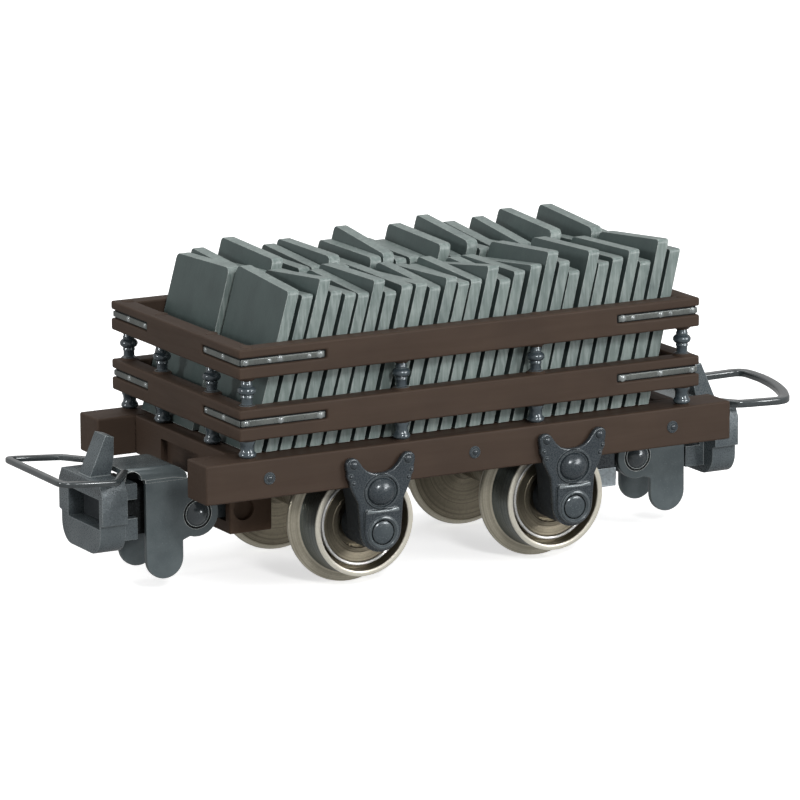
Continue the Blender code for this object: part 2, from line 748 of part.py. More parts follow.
def make_rivet(end):
    """The loop's pivot: a shaft through the shank with a round head outside each side plate."""
    profile = [
        (0, RIVET_HEAD_Y),
        (RIVET_HEAD_RADIUS - 0.12, RIVET_HEAD_Y),
        (RIVET_HEAD_RADIUS, RIVET_HEAD_Y - 0.08),
        (RIVET_HEAD_RADIUS, PLATE_OUTER + TOUCH_GAP),
        (RIVET_RADIUS, PLATE_OUTER + TOUCH_GAP),
    ]
    profile += [(radius, -height) for radius, height in reversed(profile)]
    centre = (ENDS[end] * RIVET_X, 0, RIVET_Z)
    turn = (math.pi / 2, 0, 0)
    link_part(turned(f"loop_rivet_{end}", profile, centre, turn, steps=16), "coupler")


def loop_edge(shape, half_width, inset, neck_x, neck_y):
    """One edge of the loop's flat strip, from its neck on one side round to the other."""
    steps = 8
    across = half_width - LOOP_CORNER
    bar = []
    for step in range(steps + 1):
        y = across * (1 - 2 * step / steps)
        reach = shape["reach"] - shape["bow"] * (y / half_width) ** 2 - shape["skew"] * y
        bar.append((inset - reach, y))
    left = [(-neck_x, neck_y), (-neck_x - 1.4, half_width), (bar[0][0] + LOOP_CORNER, half_width)]
    right = [(-neck_x, -neck_y), (-neck_x - 1.4, -half_width)]
    right += [(bar[-1][0] + LOOP_CORNER, -half_width)]
    return left + bar + right[::-1]


def make_loop(end):
    """The pivoted loop: flat strip, rounded top plate and two weighted side plates."""
    name = f"coupling_loop_{end}"
    shape = LOOP_SHAPES[end]
    outer = loop_edge(shape, LOOP_HALF_WIDTH, 0, 17.20, PLATE_OUTER)
    inner = loop_edge(shape, LOOP_HALF_WIDTH - LOOP_STRIP, LOOP_STRIP, 17.32, 1.15)
    low, high = LOOP_Z
    outline = outer + [(-16.6, -PLATE_INNER), (-16.6, PLATE_INNER)]
    loop = flat_plate(name, [outline, inner], low, high, "XY")
    for vert in loop.data.vertices:
        ahead = -vert.co.x / MM - HEAD_FRONT
        if ahead > 0:
            vert.co.z += ahead * MM * (shape["rise"] - shape["twist"] * vert.co.y / MM)
    outer_half = arc((TOP_BEND_Y, TOP_BEND_Z), TOP_Z - TOP_BEND_Z, 0, 90, 4)
    inner_half = arc((TOP_BEND_Y, TOP_BEND_Z), 0.20, 0, 90, 2)
    outer_side = [(outer_half[0][0], TOP_EDGE_Z)] + outer_half
    inner_side = [(inner_half[0][0], TOP_EDGE_Z)] + inner_half
    channel = outer_side + [(-y, z) for y, z in reversed(outer_side)]
    channel += [(-y, z) for y, z in inner_side] + inner_side[::-1]
    top = flat_plate(f"top_{name}", [channel], -TOP_FRONT, -TOP_REAR - 0.03, "YZ")
    shoulder = [(-12.8, 8.0), (-14.9, 8.0), (-14.65, TOP_Z + 0.03), (-14.38, TOP_Z - 0.06)]
    shoulder += [(-14.10, TOP_Z - 0.22), (-13.90, TOP_Z - 0.44), (-13.80, TOP_Z - 0.65)]
    shoulder += [(-12.8, TOP_Z - 0.95)]
    cut(top, flat_plate(f"shoulder_{name}", [shoulder], -2.2, 2.2, "XZ"))
    join(loop, top)
    weight = arc((-15.14, 1.84), 1.06, 180, 360, 10)
    lobe = arc((-RIVET_X, RIVET_Z), 1.22, -110, 60, 8)
    plate = weight + [(-14.08, 2.70)] + lobe + [(-TOP_REAR, 5.20), (-TOP_REAR, 5.98)]
    plate += [(-14.55, 6.12), (-16.20, 6.12)]
    for sign in SIDES.values():
        start, finish = sorted((sign * PLATE_INNER, sign * PLATE_OUTER))
        join(loop, flat_plate(f"plate_{name}", [plate], start, finish, "XZ"))
    bore_start, bore_end = (-RIVET_X, -PLATE_OUTER - 0.3, RIVET_Z), (-RIVET_X, 2.05, RIVET_Z)
    bore = cylinder(f"bore_{name}", bore_start, bore_end, RIVET_RADIUS + RUNNING_GAP, segments=16)
    cut(loop, bore)
    place_with_tools(loop, end, "coupler")


def make_couplers():
    for end in ENDS:
        make_pocket(end)
        make_coupler(end)
        make_rivet(end)
        make_loop(end)
    keeper = box(
        "coupler_keeper_right",
        (POCKET_FRONT + TOUCH_GAP, -1.50, POCKET_BOTTOM + 0.1),
        (POCKET_FRONT + 0.85, 1.50, 3.28),
    )
    soften(keeper, 0.08)
    link_part(keeper, "steel")


def make_wagon():
    make_solebars()
    make_headstocks_and_deck()
    make_rails_and_straps()
    make_stanchions()
    for side, sign in SIDES.items():
        make_slate_stack(side, sign)
    for end, sign in ENDS.items():
        make_wheelset(end, sign)
        for side in SIDES:
            make_axleguard(end, side)
    make_couplers()


clear_scene()
WAGON = new_collection("model_slate_wagon")
CONSTRUCTION = new_collection("construction")
FINISHES = {
    "timber": make_material("timber", (0.056, 0.038, 0.030), 0.55),
    "iron": make_material("iron", (0.040, 0.054, 0.062), 0.40),
    "coupler": make_material("coupler", (0.058, 0.072, 0.080), 0.45),
    "slate": make_material("slate", (0.110, 0.150, 0.155), 0.50),
    "nickel": make_material("nickel", (0.420, 0.400, 0.350), 0.28, 1.0),
    "steel": make_material("steel", (0.380, 0.420, 0.430), 0.35, 1.0),
}
make_wagon()
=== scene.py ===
"""The visible surfaces of the model slate wagon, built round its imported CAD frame.

Shapes are made in millimetres in the wagon's own frame: +X along the wagon, -Y its near side,
z = 0 at the lowest points of the wheel flanges.
"""

import math
import random

import bmesh
import bpy
from mathutils import Matrix, Vector


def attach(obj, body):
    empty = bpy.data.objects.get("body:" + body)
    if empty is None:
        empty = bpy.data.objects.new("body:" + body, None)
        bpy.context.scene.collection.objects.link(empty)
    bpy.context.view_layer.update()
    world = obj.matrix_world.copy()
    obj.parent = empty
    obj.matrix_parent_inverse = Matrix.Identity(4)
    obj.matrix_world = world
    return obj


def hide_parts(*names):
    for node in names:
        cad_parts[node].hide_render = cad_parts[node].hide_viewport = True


MM = 0.001
SIDES = {"near": -1, "far": 1}
ENDS = {"left": -1, "right": 1}
SMOOTH_ANGLE = math.radians(32)

# The wagon's leading dimensions, as in its CAD.
AXLE_X = 5.705
AXLE_Z = 3.51
FRAME_BOTTOM = 5.83
FRAME_TOP = 7.90
FRAME_HALF_LENGTH = 15.57
FRAME_HALF_WIDTH = 7.454
SOLEBAR_INNER = 5.254
HEADSTOCK_OUTER = 13.38
HEADSTOCK_INNER = 12.15
RECESS_DEPTH = 0.40
RECESS_HALF_WIDTH = 2.2
RECESS_TOP = 7.25
BOLT_X = 11.97
BOLT_Z = 6.89
# The hollows in a solebar's inner face that clear the wheels.
HOLLOW_HALF_LENGTH = 3.41
HOLLOW_DEPTH_Y = 6.15
HOLLOW_TOP = 6.80
DECK_BOTTOM = 7.20
RING_HALF_LENGTH = 13.634
RING_INNER_X = 12.585
RING_INNER_Y = 6.40
RINGS = {"lower": (8.93, 10.58), "upper": (12.14, 13.70)}
SLOT_DEPTH = 0.24
SLOT_HEIGHT = 0.46
SLOT_RISE = 0.09
SLOT_END_X = 8.60
SLOT_END_Y = 3.20
STRAP_HEIGHT = 0.31
STRAP_THICKNESS = 0.15
POST_X = 12.90
POST_Y = 6.84
SIDE_POST_X = 3.99
END_POST_Y = 2.885
COLLAR_Z = 11.45
PIVOT_X = 10.20
RIVET_X = 13.25
RIVET_Z = 4.00
SLATES_PER_ROW = 28
SLATE_PITCH = 0.838
SLATE_THICKNESS = 0.64
SLATE_LEAN = math.radians(15.5)
SLATE_OUTER_Y = 6.20
SLATE_INNER_Y = 0.14
SLATE_BOTTOM = 7.95
# A cutter that must miss nothing reaches this far out and up, and starts this near or low.
BEYOND = 20
BELOW = 5

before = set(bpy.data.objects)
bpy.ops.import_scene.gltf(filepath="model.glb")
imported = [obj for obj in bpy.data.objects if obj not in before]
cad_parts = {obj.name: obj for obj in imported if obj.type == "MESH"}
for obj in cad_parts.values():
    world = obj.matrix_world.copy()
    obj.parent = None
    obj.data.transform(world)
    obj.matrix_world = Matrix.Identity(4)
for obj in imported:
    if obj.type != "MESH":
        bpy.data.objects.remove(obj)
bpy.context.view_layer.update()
rng = random.Random(7)


# ---------------------------------------------------------------- meshes


def twice_area(points):
    """Positive when the outline runs anticlockwise."""
    pairs = zip(points, points[1:] + points[:1])
    return sum(x0 * y1 - x1 * y0 for (x0, y0), (x1, y1) in pairs)


def polygon_bmesh(points, low, high):
    """A prism on the XY plane between two heights."""
    bm = bmesh.new()
    base = bm.faces.new([bm.verts.new((x, y, low)) for x, y in points])
    if twice_area(points) > 0:
        base.normal_flip()
    top = bmesh.ops.extrude_face_region(bm, geom=[base])
    lifted = [item for item in top["geom"] if isinstance(item, bmesh.types.BMVert)]
    bmesh.ops.translate(bm, verts=lifted, vec=(0, 0, high - low))
    bmesh.ops.recalc_face_normals(bm, faces=bm.faces)
    return bm


PLANES = {
    "XY": Matrix.Identity(4),
    "XZ": Matrix(((1, 0, 0, 0), (0, 0, -1, 0), (0, 1, 0, 0), (0, 0, 0, 1))),
    "YZ": Matrix(((0, 0, 1, 0), (1, 0, 0, 0), (0, 1, 0, 0), (0, 0, 0, 1))),
}


def round_edges(bm, width, segments, angle=30):
    """Bevels every edge sharper than the angle."""
    sharp = [
        edge
        for edge in bm.edges
        if len(edge.link_faces) == 2 and edge.calc_face_angle(0) > math.radians(angle)
    ]
    settings = {"profile": 0.5, "affect": "EDGES", "clamp_overlap": True}
    bmesh.ops.bevel(bm, geom=sharp, offset=width, segments=segments, **settings)


class Shape:
    """Closed shells gathered into one mesh, in millimetres."""

    def __init__(self):
        self.bm = bmesh.new()

    def take(self, bm, matrix=None, material=0):
        if matrix is not None:
            bmesh.ops.transform(bm, matrix=matrix, verts=bm.verts)
            if matrix.determinant() < 0:
                bmesh.ops.reverse_faces(bm, faces=bm.faces)
        for face in bm.faces:
            face.material_index = max(face.material_index, material)
        return self.absorb(bm)

    def absorb(self, bm):
        mesh = bpy.data.meshes.new("part")
        bm.to_mesh(mesh)
        bm.free()
        self.bm.from_mesh(mesh)
        bpy.data.meshes.remove(mesh)
        return self

    def box(self, low, high, edge=0.0, segments=2, material=0):
        low, high = Vector(low), Vector(high)
        bm = bmesh.new()
        size = Matrix.Diagonal((*(high - low), 1.0))
        place = Matrix.Translation((low + high) / 2) @ size
        bmesh.ops.create_cube(bm, size=1.0, matrix=place)
        if edge:
            round_edges(bm, edge, segments)
        return self.take(bm, material=material)

    def plate(self, outline, low, high, plane, edge=0.0, segments=2, material=0):
        """An outline in the XY, XZ or YZ plane, solid between two values of the third axis."""
        if plane == "XZ":
            low, high = -high, -low
        bm = polygon_bmesh(outline, low, high)
        if edge:
            round_edges(bm, edge, segments)
        bmesh.ops.transform(bm, matrix=PLANES[plane], verts=bm.verts)
        return self.take(bm, material=material)

    def turned(self, profile, axis="Z", centre=(0, 0, 0), steps=32, matrix=None, material=0):
        """(radius, height) points turned about an axis; points at radius 0 become poles."""
        bm = bmesh.new()
        rings = []
        for radius, height in profile:
            if radius < 1e-6:
                rings.append([bm.verts.new((0, 0, height))])
                continue
            turns = [math.tau * step / steps for step in range(steps)]
            rings.append(
                [bm.verts.new((radius * math.cos(a), radius * math.sin(a), height)) for a in turns]
            )
        closed = len(rings[0]) > 1 and len(rings[-1]) > 1
        pairs = list(zip(rings, rings[1:] + rings[:1] if closed else rings[1:]))
        for first, second in pairs:
            for step in range(steps):
                after = (step + 1) % steps
                corners = [first[step % len(first)], first[after % len(first)]]
                corners += [second[after % len(second)], second[step % len(second)]]
                corners = list(dict.fromkeys(corners))
                if len(corners) > 2:
                    bm.faces.new(corners)
        bmesh.ops.recalc_face_normals(bm, faces=bm.faces)
        turn = {
            "Z": Matrix.Identity(4),
            "Y": Matrix.Rotation(math.radians(-90), 4, "X"),
            "-Y": Matrix.Rotation(math.radians(90), 4, "X"),
            "X": Matrix.Rotation(math.radians(90), 4, "Y"),
            "-X": Matrix.Rotation(math.radians(-90), 4, "Y"),
        }[axis]
        bmesh.ops.transform(bm, matrix=Matrix.Translation(centre) @ turn, verts=bm.verts)
        return self.take(bm, matrix, material)

    def dome(self, centre, radius, height, axis, steps, rings, material=0):
        """A rounded head standing on a flat base."""
        angles = [math.pi / 2 * ring / rings for ring in range(rings + 1)]
        profile = [(0, -0.3 * height), (radius, -0.3 * height)]
        profile += [(radius * math.cos(a), height * math.sin(a)) for a in angles[:-1]]
        profile += [(0, height)]
        return self.turned(profile, axis, centre, steps, material=material)

    def swept(self, path, width, height, corner, material=0):
        """A rounded rectangular section carried along an open path that stays nearly level."""
        bm = bmesh.new()
        section = []
        for quarter, (sx, sy) in enumerate(((1, 1), (-1, 1), (-1, -1), (1, -1))):
            for step in range(4):
                turn = math.pi / 2 * step / 3 + quarter * math.pi / 2
                across = sx * (width / 2 - corner) + corner * math.cos(turn)
                up = sy * (height / 2 - corner) + corner * math.sin(turn)
                section.append((across, up))
        points = [Vector(point) for point in path]
        rings = []
        for index, point in enumerate(points):
            back = point - points[max(index - 1, 0)]
            ahead = points[min(index + 1, len(points) - 1)] - point
            along = (back.normalized() if back.length else ahead.normalized()) + (
                ahead.normalized() if ahead.length else back.normalized()
            )
            along.normalize()
            side = Vector((along.y, -along.x, 0)).normalized()
            # A mitred corner keeps the strip's width.
            reach = 1.0
            if back.length and ahead.length:
                reach = 1 / max(0.5, abs(along.dot(back.normalized())))
            rings.append(
                [bm.verts.new(point + side * a * reach + Vector((0, 0, u))) for a, u in section]
            )
        size = len(section)
        for first, second in zip(rings, rings[1:]):
            for step in range(size):
                after = (step + 1) % size
                bm.faces.new((first[step], first[after], second[after], second[step]))
        bm.faces.new(rings[0])
        bm.faces.new(rings[-1])
        bmesh.ops.recalc_face_normals(bm, faces=bm.faces)
        return self.take(bm, material=material)

    def add(self, other):
        """Takes in another shape, which is used up."""
        return self.absorb(other.bm)

    def mesh(self, name):
        bmesh.ops.scale(self.bm, verts=self.bm.verts, vec=(MM, MM, MM))
        mesh = bpy.data.meshes.new(name)
        self.bm.to_mesh(mesh)
        self.bm.free()
        return mesh

    def cut(self, tools, operation="DIFFERENCE"):
        """Cuts another shape out of this one, or keeps what both share, with an exact Boolean."""
        scratch = []
        for shape in (self, tools):
            mesh = bpy.data.meshes.new("scratch")
            shape.bm.to_mesh(mesh)
            shape.bm.free()
            item = bpy.data.objects.new("scratch", mesh)
            bpy.context.scene.collection.objects.link(item)
            scratch.append(item)
        modifier = scratch[0].modifiers.new("cut", "BOOLEAN")
        modifier.operation = operation
        modifier.solver = "EXACT"
        modifier.use_self = True
        modifier.object = scratch[1]
        bpy.context.view_layer.update()
        graph = bpy.context.evaluated_depsgraph_get()
        mesh = bpy.data.meshes.new_from_object(scratch[0].evaluated_get(graph))
        self.bm = bmesh.new()
        self.bm.from_mesh(mesh)
        bpy.data.meshes.remove(mesh)
        for item in scratch:
            data = item.data
            bpy.data.objects.remove(item)
            bpy.data.meshes.remove(data)
        return self


def place(name, shape, body, materials, slot, stands_for):
    """Makes a shape a piece of the wagon, riding on a body."""
    mesh = shape.mesh(name) if isinstance(shape, Shape) else shape
    for polygon in mesh.polygons:
        polygon.use_smooth = True
    mesh.set_sharp_from_angle(angle=SMOOTH_ANGLE)
    for material in materials:
        mesh.materials.append(material)
    item = bpy.data.objects.new(name, mesh)
    bpy.context.scene.collection.objects.link(item)
    normals = item.modifiers.new("Normals", "WEIGHTED_NORMAL")
    normals.keep_sharp = True
    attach(item, body)
    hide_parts(*stands_for)


# ---------------------------------------------------------------- materials


class Nodes:
    """A short way to write a node tree round a Principled BSDF."""

    def __init__(self, name):
        self.material = bpy.data.materials.new(name)
        self.material.use_nodes = True
        self.tree = self.material.node_tree
        self.shader = self.tree.nodes["Principled BSDF"]
        self.coordinates = self.node("ShaderNodeTexCoord").outputs["Object"]

    def node(self, kind, inputs=None, **settings):
        made = self.tree.nodes.new(kind)
        for key, value in settings.items():
            setattr(made, key, value)
        for key, value in (inputs or {}).items():
            self.give(made.inputs[key], value)
        return made

    def give(self, socket, value):
        if isinstance(value, bpy.types.NodeSocket):
            self.tree.links.new(value, socket)
        else:
            socket.default_value = value

    def noise(self, scale, stretch=(1, 1, 1), detail=4.0, roughness=0.55, distortion=0.0):
        """Noise over the wagon; scale counts features to the millimetre."""
        factors = [scale * factor / MM for factor in stretch]
        vector = self.node(
            "ShaderNodeVectorMath", {0: self.coordinates, 1: factors}, operation="MULTIPLY"
        )
        inputs = {"Vector": vector.outputs[0], "Scale": 1.0, "Detail": detail}
        inputs |= {"Roughness": roughness, "Distortion": distortion}
        return self.node("ShaderNodeTexNoise", inputs).outputs["Fac"]

    def ramp(self, value, low, high, to_low=0.0, to_high=1.0):
        inputs = {"Value": value, "From Min": low, "From Max": high}
        inputs |= {"To Min": to_low, "To Max": to_high}
        return self.node("ShaderNodeMapRange", inputs).outputs["Result"]

    def mix(self, factor, first, second):
        made = self.node("ShaderNodeMix", data_type="RGBA")
        self.give(made.inputs[0], factor)
        self.give(made.inputs[6], first)
        self.give(made.inputs[7], second)
        return made.outputs[2]

    def maths(self, operation, first, second=0.0):
        made = self.node("ShaderNodeMath", {0: first, 1: second}, operation=operation)
        return made.outputs[0]

    def bump(self, height, distance, strength=1.0, normal=None):
        inputs = {"Height": height, "Distance": distance * MM, "Strength": strength}
        if normal is not None:
            inputs["Normal"] = normal
        return self.node("ShaderNodeBump", inputs).outputs["Normal"]

    def edges(self, radius):
        """0 on flats, rising towards 1 along sharp edges."""
        bevel = self.node("ShaderNodeBevel", {"Radius": radius * MM}, samples=6)
        face = self.node("ShaderNodeNewGeometry").outputs["Normal"]
        dot = self.node(
            "ShaderNodeVectorMath", {0: bevel.outputs[0], 1: face}, operation="DOT_PRODUCT"
        )
        return self.ramp(dot.outputs["Value"], 0.995, 0.82)

    def finish(self, color, roughness, metallic=0.0, normal=None, specular=0.5, coat=0.0):
        self.give(self.shader.inputs["Base Color"], color)
        self.give(self.shader.inputs["Roughness"], roughness)
        self.shader.inputs["Metallic"].default_value = metallic
        self.shader.inputs["Specular IOR Level"].default_value = specular
        if coat:
            self.shader.inputs["Coat Weight"].default_value = coat
            self.shader.inputs["Coat Roughness"].default_value = 0.15
        if normal is not None:
            self.give(self.shader.inputs["Normal"], normal)
        return self.material


def rgb(red, green, blue):
    """A colour from 0-255 screen values."""
    linear = []
    for value in (red, green, blue):
        share = value / 255
        linear.append(share / 12.92 if share <= 0.04045 else ((share + 0.055) / 1.055) ** 2.4)
    return (*linear, 1.0)


def painted_timber(name, stretch, light=rgb(62, 49, 40), dark=rgb(68, 54, 44)):
    """Dark brown paint over moulded wood grain that runs along the member."""
    n = Nodes(name)
    grain = n.noise(2.2, stretch, detail=6, roughness=0.6, distortion=0.4)
    blotch = n.noise(0.35, detail=3)
    colour = n.mix(n.ramp(blotch, 0.3, 0.7), light, dark)
    colour = n.mix(n.ramp(grain, 0.35, 0.75, 0.0, 0.30), colour, rgb(54, 41, 32))
    colour = n.mix(n.maths("MULTIPLY", n.edges(0.09), 0.15), colour, rgb(82, 67, 56))
    rough = n.ramp(grain, 0.3, 0.7, 0.58, 0.70)
    speckle = n.noise(14, detail=2)
    normal = n.bump(grain, 0.018, 0.55)
    normal = n.bump(speckle, 0.004, 0.4, normal)
    return n.finish(colour, rough, normal=normal, specular=0.25)


def slate_surface(name, face, dark, streaks, rough_low, rough_high, streaking):
    """Blue-grey slate; streaks follow the leaning slate from foot to top."""
    n = Nodes(name)
    tone = n.node("ShaderNodeAttribute", attribute_name="tone").outputs["Fac"]
    cloud = n.noise(0.5, (1, 1, 1), detail=5, roughness=0.6)
    fibre = n.noise(3.0, streaks, detail=4, roughness=0.65)
    colour = n.mix(n.ramp(cloud, 0.3, 0.7), face, dark)
    colour = n.mix(n.ramp(tone, 0.0, 1.0, 0.0, 0.35), colour, dark)
    colour = n.mix(n.ramp(fibre, 0.42, 0.8, 0.0, streaking), colour, rgb(178, 188, 184))
    # Painted highlight: edges are mixed towards near-white.
    colour = n.mix(n.maths("MULTIPLY", n.edges(0.05), 0.85), colour, rgb(222, 229, 226))
    normal = n.bump(fibre, 0.02, 0.5)
    normal = n.bump(n.noise(9, detail=3), 0.006, 0.5, normal)
    rough = n.ramp(fibre, 0.3, 0.7, rough_low, rough_high)
    return n.finish(colour, rough, normal=normal, specular=0.5)


def cast_metal(
    name, base, light, grain, roughness, specular=0.5, coat=0.0, edge=rgb(140, 148, 150), edge_glint=0.5
):
    """Blackened metal: a grainy casting with a satin bloom, and painted highlights along its edges."""
    n = Nodes(name)
    cloud = n.noise(0.8, detail=4)
    speckle = n.noise(11, detail=3, roughness=0.7)
    colour = n.mix(n.ramp(cloud, 0.35, 0.7), base, light)
    colour = n.mix(n.ramp(speckle, 0.5, 0.75, 0.0, 0.30), colour, rgb(104, 112, 114))
    # Edges are mixed towards the edge colour as a painted highlight.
    painted_glint = n.maths("MULTIPLY", n.edges(0.06), edge_glint)
    colour = n.mix(painted_glint, colour, edge)
    normal = n.bump(speckle, grain, 0.6)
    normal = n.bump(cloud, 0.03, 0.3, normal)
    rough = n.ramp(speckle, 0.3, 0.7, roughness - 0.06, roughness + 0.08)
    return n.finish(colour, rough, 0.25, normal, specular, coat)


def turned_metal(name, centre_x, light, dark, roughness, metallic=0.8, ring_scale=7.0):
    """Lathe-turned metal: fine rings about an axle, with faint wear along them."""
    n = Nodes(name)
    centre = (centre_x * MM, 0, AXLE_Z * MM)
    offset = n.node("ShaderNodeVectorMath", {0: n.coordinates, 1: centre}, operation="SUBTRACT")
    flat = n.node("ShaderNodeVectorMath", {0: offset.outputs[0], 1: (1, 0, 1)}, operation="MULTIPLY")
    radius = n.node("ShaderNodeVectorMath", {0: flat.outputs[0]}, operation="LENGTH")
    split = n.node("ShaderNodeSeparateXYZ", {0: n.coordinates})
    across = n.node(
        "ShaderNodeCombineXYZ",
        {
            0: n.maths("MULTIPLY", radius.outputs["Value"], ring_scale / MM),
            1: n.maths("MULTIPLY", split.outputs[1], ring_scale / MM),
        },
    )
    rings = n.node(
        "ShaderNodeTexNoise",
        {"Vector": across.outputs[0], "Scale": 1.0, "Detail": 3.0, "Roughness": 0.7},
    ).outputs["Fac"]
    cloud = n.noise(0.7, detail=4)
    colour = n.mix(n.ramp(rings, 0.3, 0.7), light, dark)
    colour = n.mix(n.ramp(cloud, 0.35, 0.75, 0.0, 0.4), colour, dark)
    colour = n.mix(n.ramp(n.noise(9, detail=4, roughness=0.7), 0.5, 0.7, 0.0, 0.45), colour, dark)
    rough = n.ramp(rings, 0.3, 0.7, roughness - 0.06, roughness + 0.10)
    normal = n.bump(n.noise(22, detail=2), 0.004, 0.5, n.bump(rings, 0.010, 0.6))
    return n.finish(colour, rough, metallic, normal)


def plain_metal(name, colour, roughness, metallic=1.0):
    n = Nodes(name)
    speckle = n.noise(8, detail=3)
    tint = n.mix(n.ramp(speckle, 0.3, 0.7, 0.0, 0.5), colour, rgb(88, 90, 88))
    rough = n.ramp(speckle, 0.3, 0.7, roughness, roughness + 0.12)
    return n.finish(tint, rough, metallic, n.bump(speckle, 0.006, 0.5))


TIMBER_ALONG = painted_timber("timber_grain_x", (0.08, 1.0, 1.0))
TIMBER_ACROSS = painted_timber("timber_grain_y", (1.0, 0.08, 1.0))
# A lighter copy of the timber for the coupler pockets: painted light where they sit in shade under the
# frame.
TIMBER_POCKET_LIT = painted_timber("timber_pocket_painted_light", (1.0, 0.08, 1.0), rgb(80, 63, 50), rgb(88, 70, 56))
SLATE_FACE = slate_surface(
    "slate_face", rgb(72, 86, 84), rgb(62, 74, 73), (0.35, 1.0, 0.10), 0.38, 0.50, 0.03
)
# The edge copy is much lighter than the face copy: painted highlight on the slates' edges and tops.
SLATE_EDGE = slate_surface(
    "slate_edge", rgb(128, 141, 137), rgb(100, 113, 111), (1.8, 1.8, 0.25), 0.30, 0.45, 0.55
)
# The edge colours and shares given below paint highlights along each metal's edges.
IRON = cast_metal("ironwork", rgb(44, 52, 58), rgb(56, 64, 69), 0.006, 0.27, 0.6, 0.35)
COUPLER = cast_metal(
    "coupler_grey", rgb(82, 90, 94), rgb(98, 106, 109), 0.018, 0.28, edge=rgb(196, 204, 204), edge_glint=0.8
)
WIRE = cast_metal("loop_wire", rgb(52, 58, 60), rgb(70, 77, 79), 0.006, 0.14, 0.9, 0.6, edge_glint=0.25)
LOOP = cast_metal(
    "loop_grey", rgb(86, 95, 98), rgb(102, 111, 113), 0.014, 0.20, edge=rgb(230, 235, 232), edge_glint=0.9
)
RIVET = cast_metal("rivet_grey", rgb(62, 69, 73), rgb(78, 85, 89), 0.006, 0.20, 0.7, 0.5)
POST = cast_metal("stanchion_iron", rgb(56, 67, 74), rgb(76, 87, 93), 0.006, 0.18, 0.8, 0.5)
COVER = cast_metal("cover_iron", rgb(62, 71, 76), rgb(76, 85, 89), 0.006, 0.22, 0.7, 0.4)
STRAP = cast_metal("strap_iron", rgb(84, 88, 85), rgb(104, 108, 104), 0.012, 0.30)
# A light finish whose brightness is a painted glint on small rivets.
STUD_GLINT = cast_metal(
    "stud_painted_glint", rgb(120, 126, 126), rgb(150, 156, 155), 0.006, 0.14, 0.8, 0.6, rgb(230, 234, 232)
)
# Painted shade: near-black finishes for recesses and for faces that lie in shade.
SHADE = cast_metal("painted_shade_black", rgb(40, 44, 47), rgb(50, 54, 57), 0.010, 0.6, 0.25)
DEEP_SHADE = cast_metal("painted_deep_shade", rgb(24, 26, 27), rgb(30, 32, 33), 0.006, 0.7, 0.2, edge_glint=0.0)
# A bright finish standing in for the highlight along a lit ledge: painted highlight.
LEDGE_GLINT = cast_metal(
    "ledge_painted_glint", rgb(96, 104, 108), rgb(130, 138, 140), 0.006, 0.25, edge=rgb(225, 230, 230)
)


def wheel_finish(name, light, dark, roughness, metallic=0.8):
    """One finish for each wheelset, because its rings circle that wheelset's axle."""
    return {
        end: turned_metal(f"{name}_{end}", sign * AXLE_X, light, dark, roughness, metallic)
        for end, sign in ENDS.items()
    }


# The rim and flange are painted lighter than the web and the tread a darker blue-grey: painted light
# and painted reflection on one turned metal.
WHEEL = wheel_finish("wheel", rgb(158, 150, 131), rgb(92, 86, 73), 0.34)
RIM = wheel_finish("rim", rgb(244, 241, 228), rgb(196, 191, 176), 0.30, 0.45)
FLANGE = wheel_finish("flange", rgb(222, 216, 198), rgb(148, 141, 122), 0.32, 0.6)
TREAD = wheel_finish("tread", rgb(140, 144, 138), rgb(92, 98, 98), 0.30)
# The lip's near-white colour is a painted reflection on polished metal.
LIP_REFLECTION = plain_metal("lip_painted_reflection", rgb(252, 252, 250), 0.22, 0.3)
STEEL = plain_metal("bright_steel", rgb(196, 202, 204), 0.26)
KEEPER = plain_metal("keeper_grey", rgb(168, 179, 185), 0.35, 0.3)


# ---------------------------------------------------------------- timber


def arc(centre, radius, start, end, steps):
    angles = [math.radians(start + (end - start) * step / steps) for step in range(steps + 1)]
    return [(centre[0] + radius * math.cos(a), centre[1] + radius * math.sin(a)) for a in angles]


def mirrored(half):
    return half + [(-x, y) for x, y in reversed(half) if abs(x) > 1e-9]


def post_places():
    for end, x_sign in ENDS.items():
        for side, y_sign in SIDES.items():
            yield f"corner_stanchion_{end}_{side}", x_sign * POST_X, y_sign * POST_Y
            yield f"side_stanchion_{end}_{side}", x_sign * SIDE_POST_X, y_sign * POST_Y
            yield f"end_stanchion_{end}_{side}", x_sign * POST_X, y_sign * END_POST_Y


def posts_in(low_x, high_x, low_y, high_y):
    return [(x, y) for _, x, y in post_places() if low_x < x < high_x and low_y < y < high_y]


BOSS = [(0, -0.25), (0.54, -0.25), (0.52, 0.02), (0.42, 0.08), (0.36, 0.15), (0, 0.16)]
CAP = [(0, -0.2), (0.36, -0.2), (0.34, 0.01), (0.24, 0.05), (0.12, 0.08), (0, 0.09)]


def add_bosses(shape, places, low, high, capped):
    """Brown collars round each stanchion above and below a rail; a cap closes over its end."""
    for x, y in places:
        shape.turned(CAP if capped else BOSS, "Z", (x, y, high), 20)
        shape.turned([(r, -h) for r, h in BOSS], "Z", (x, y, low), 20)


def slot_heights(ring):
    low, high = RINGS[ring]
    centre = (low + high) / 2 + SLOT_RISE
    return centre - SLOT_HEIGHT / 2, centre + SLOT_HEIGHT / 2


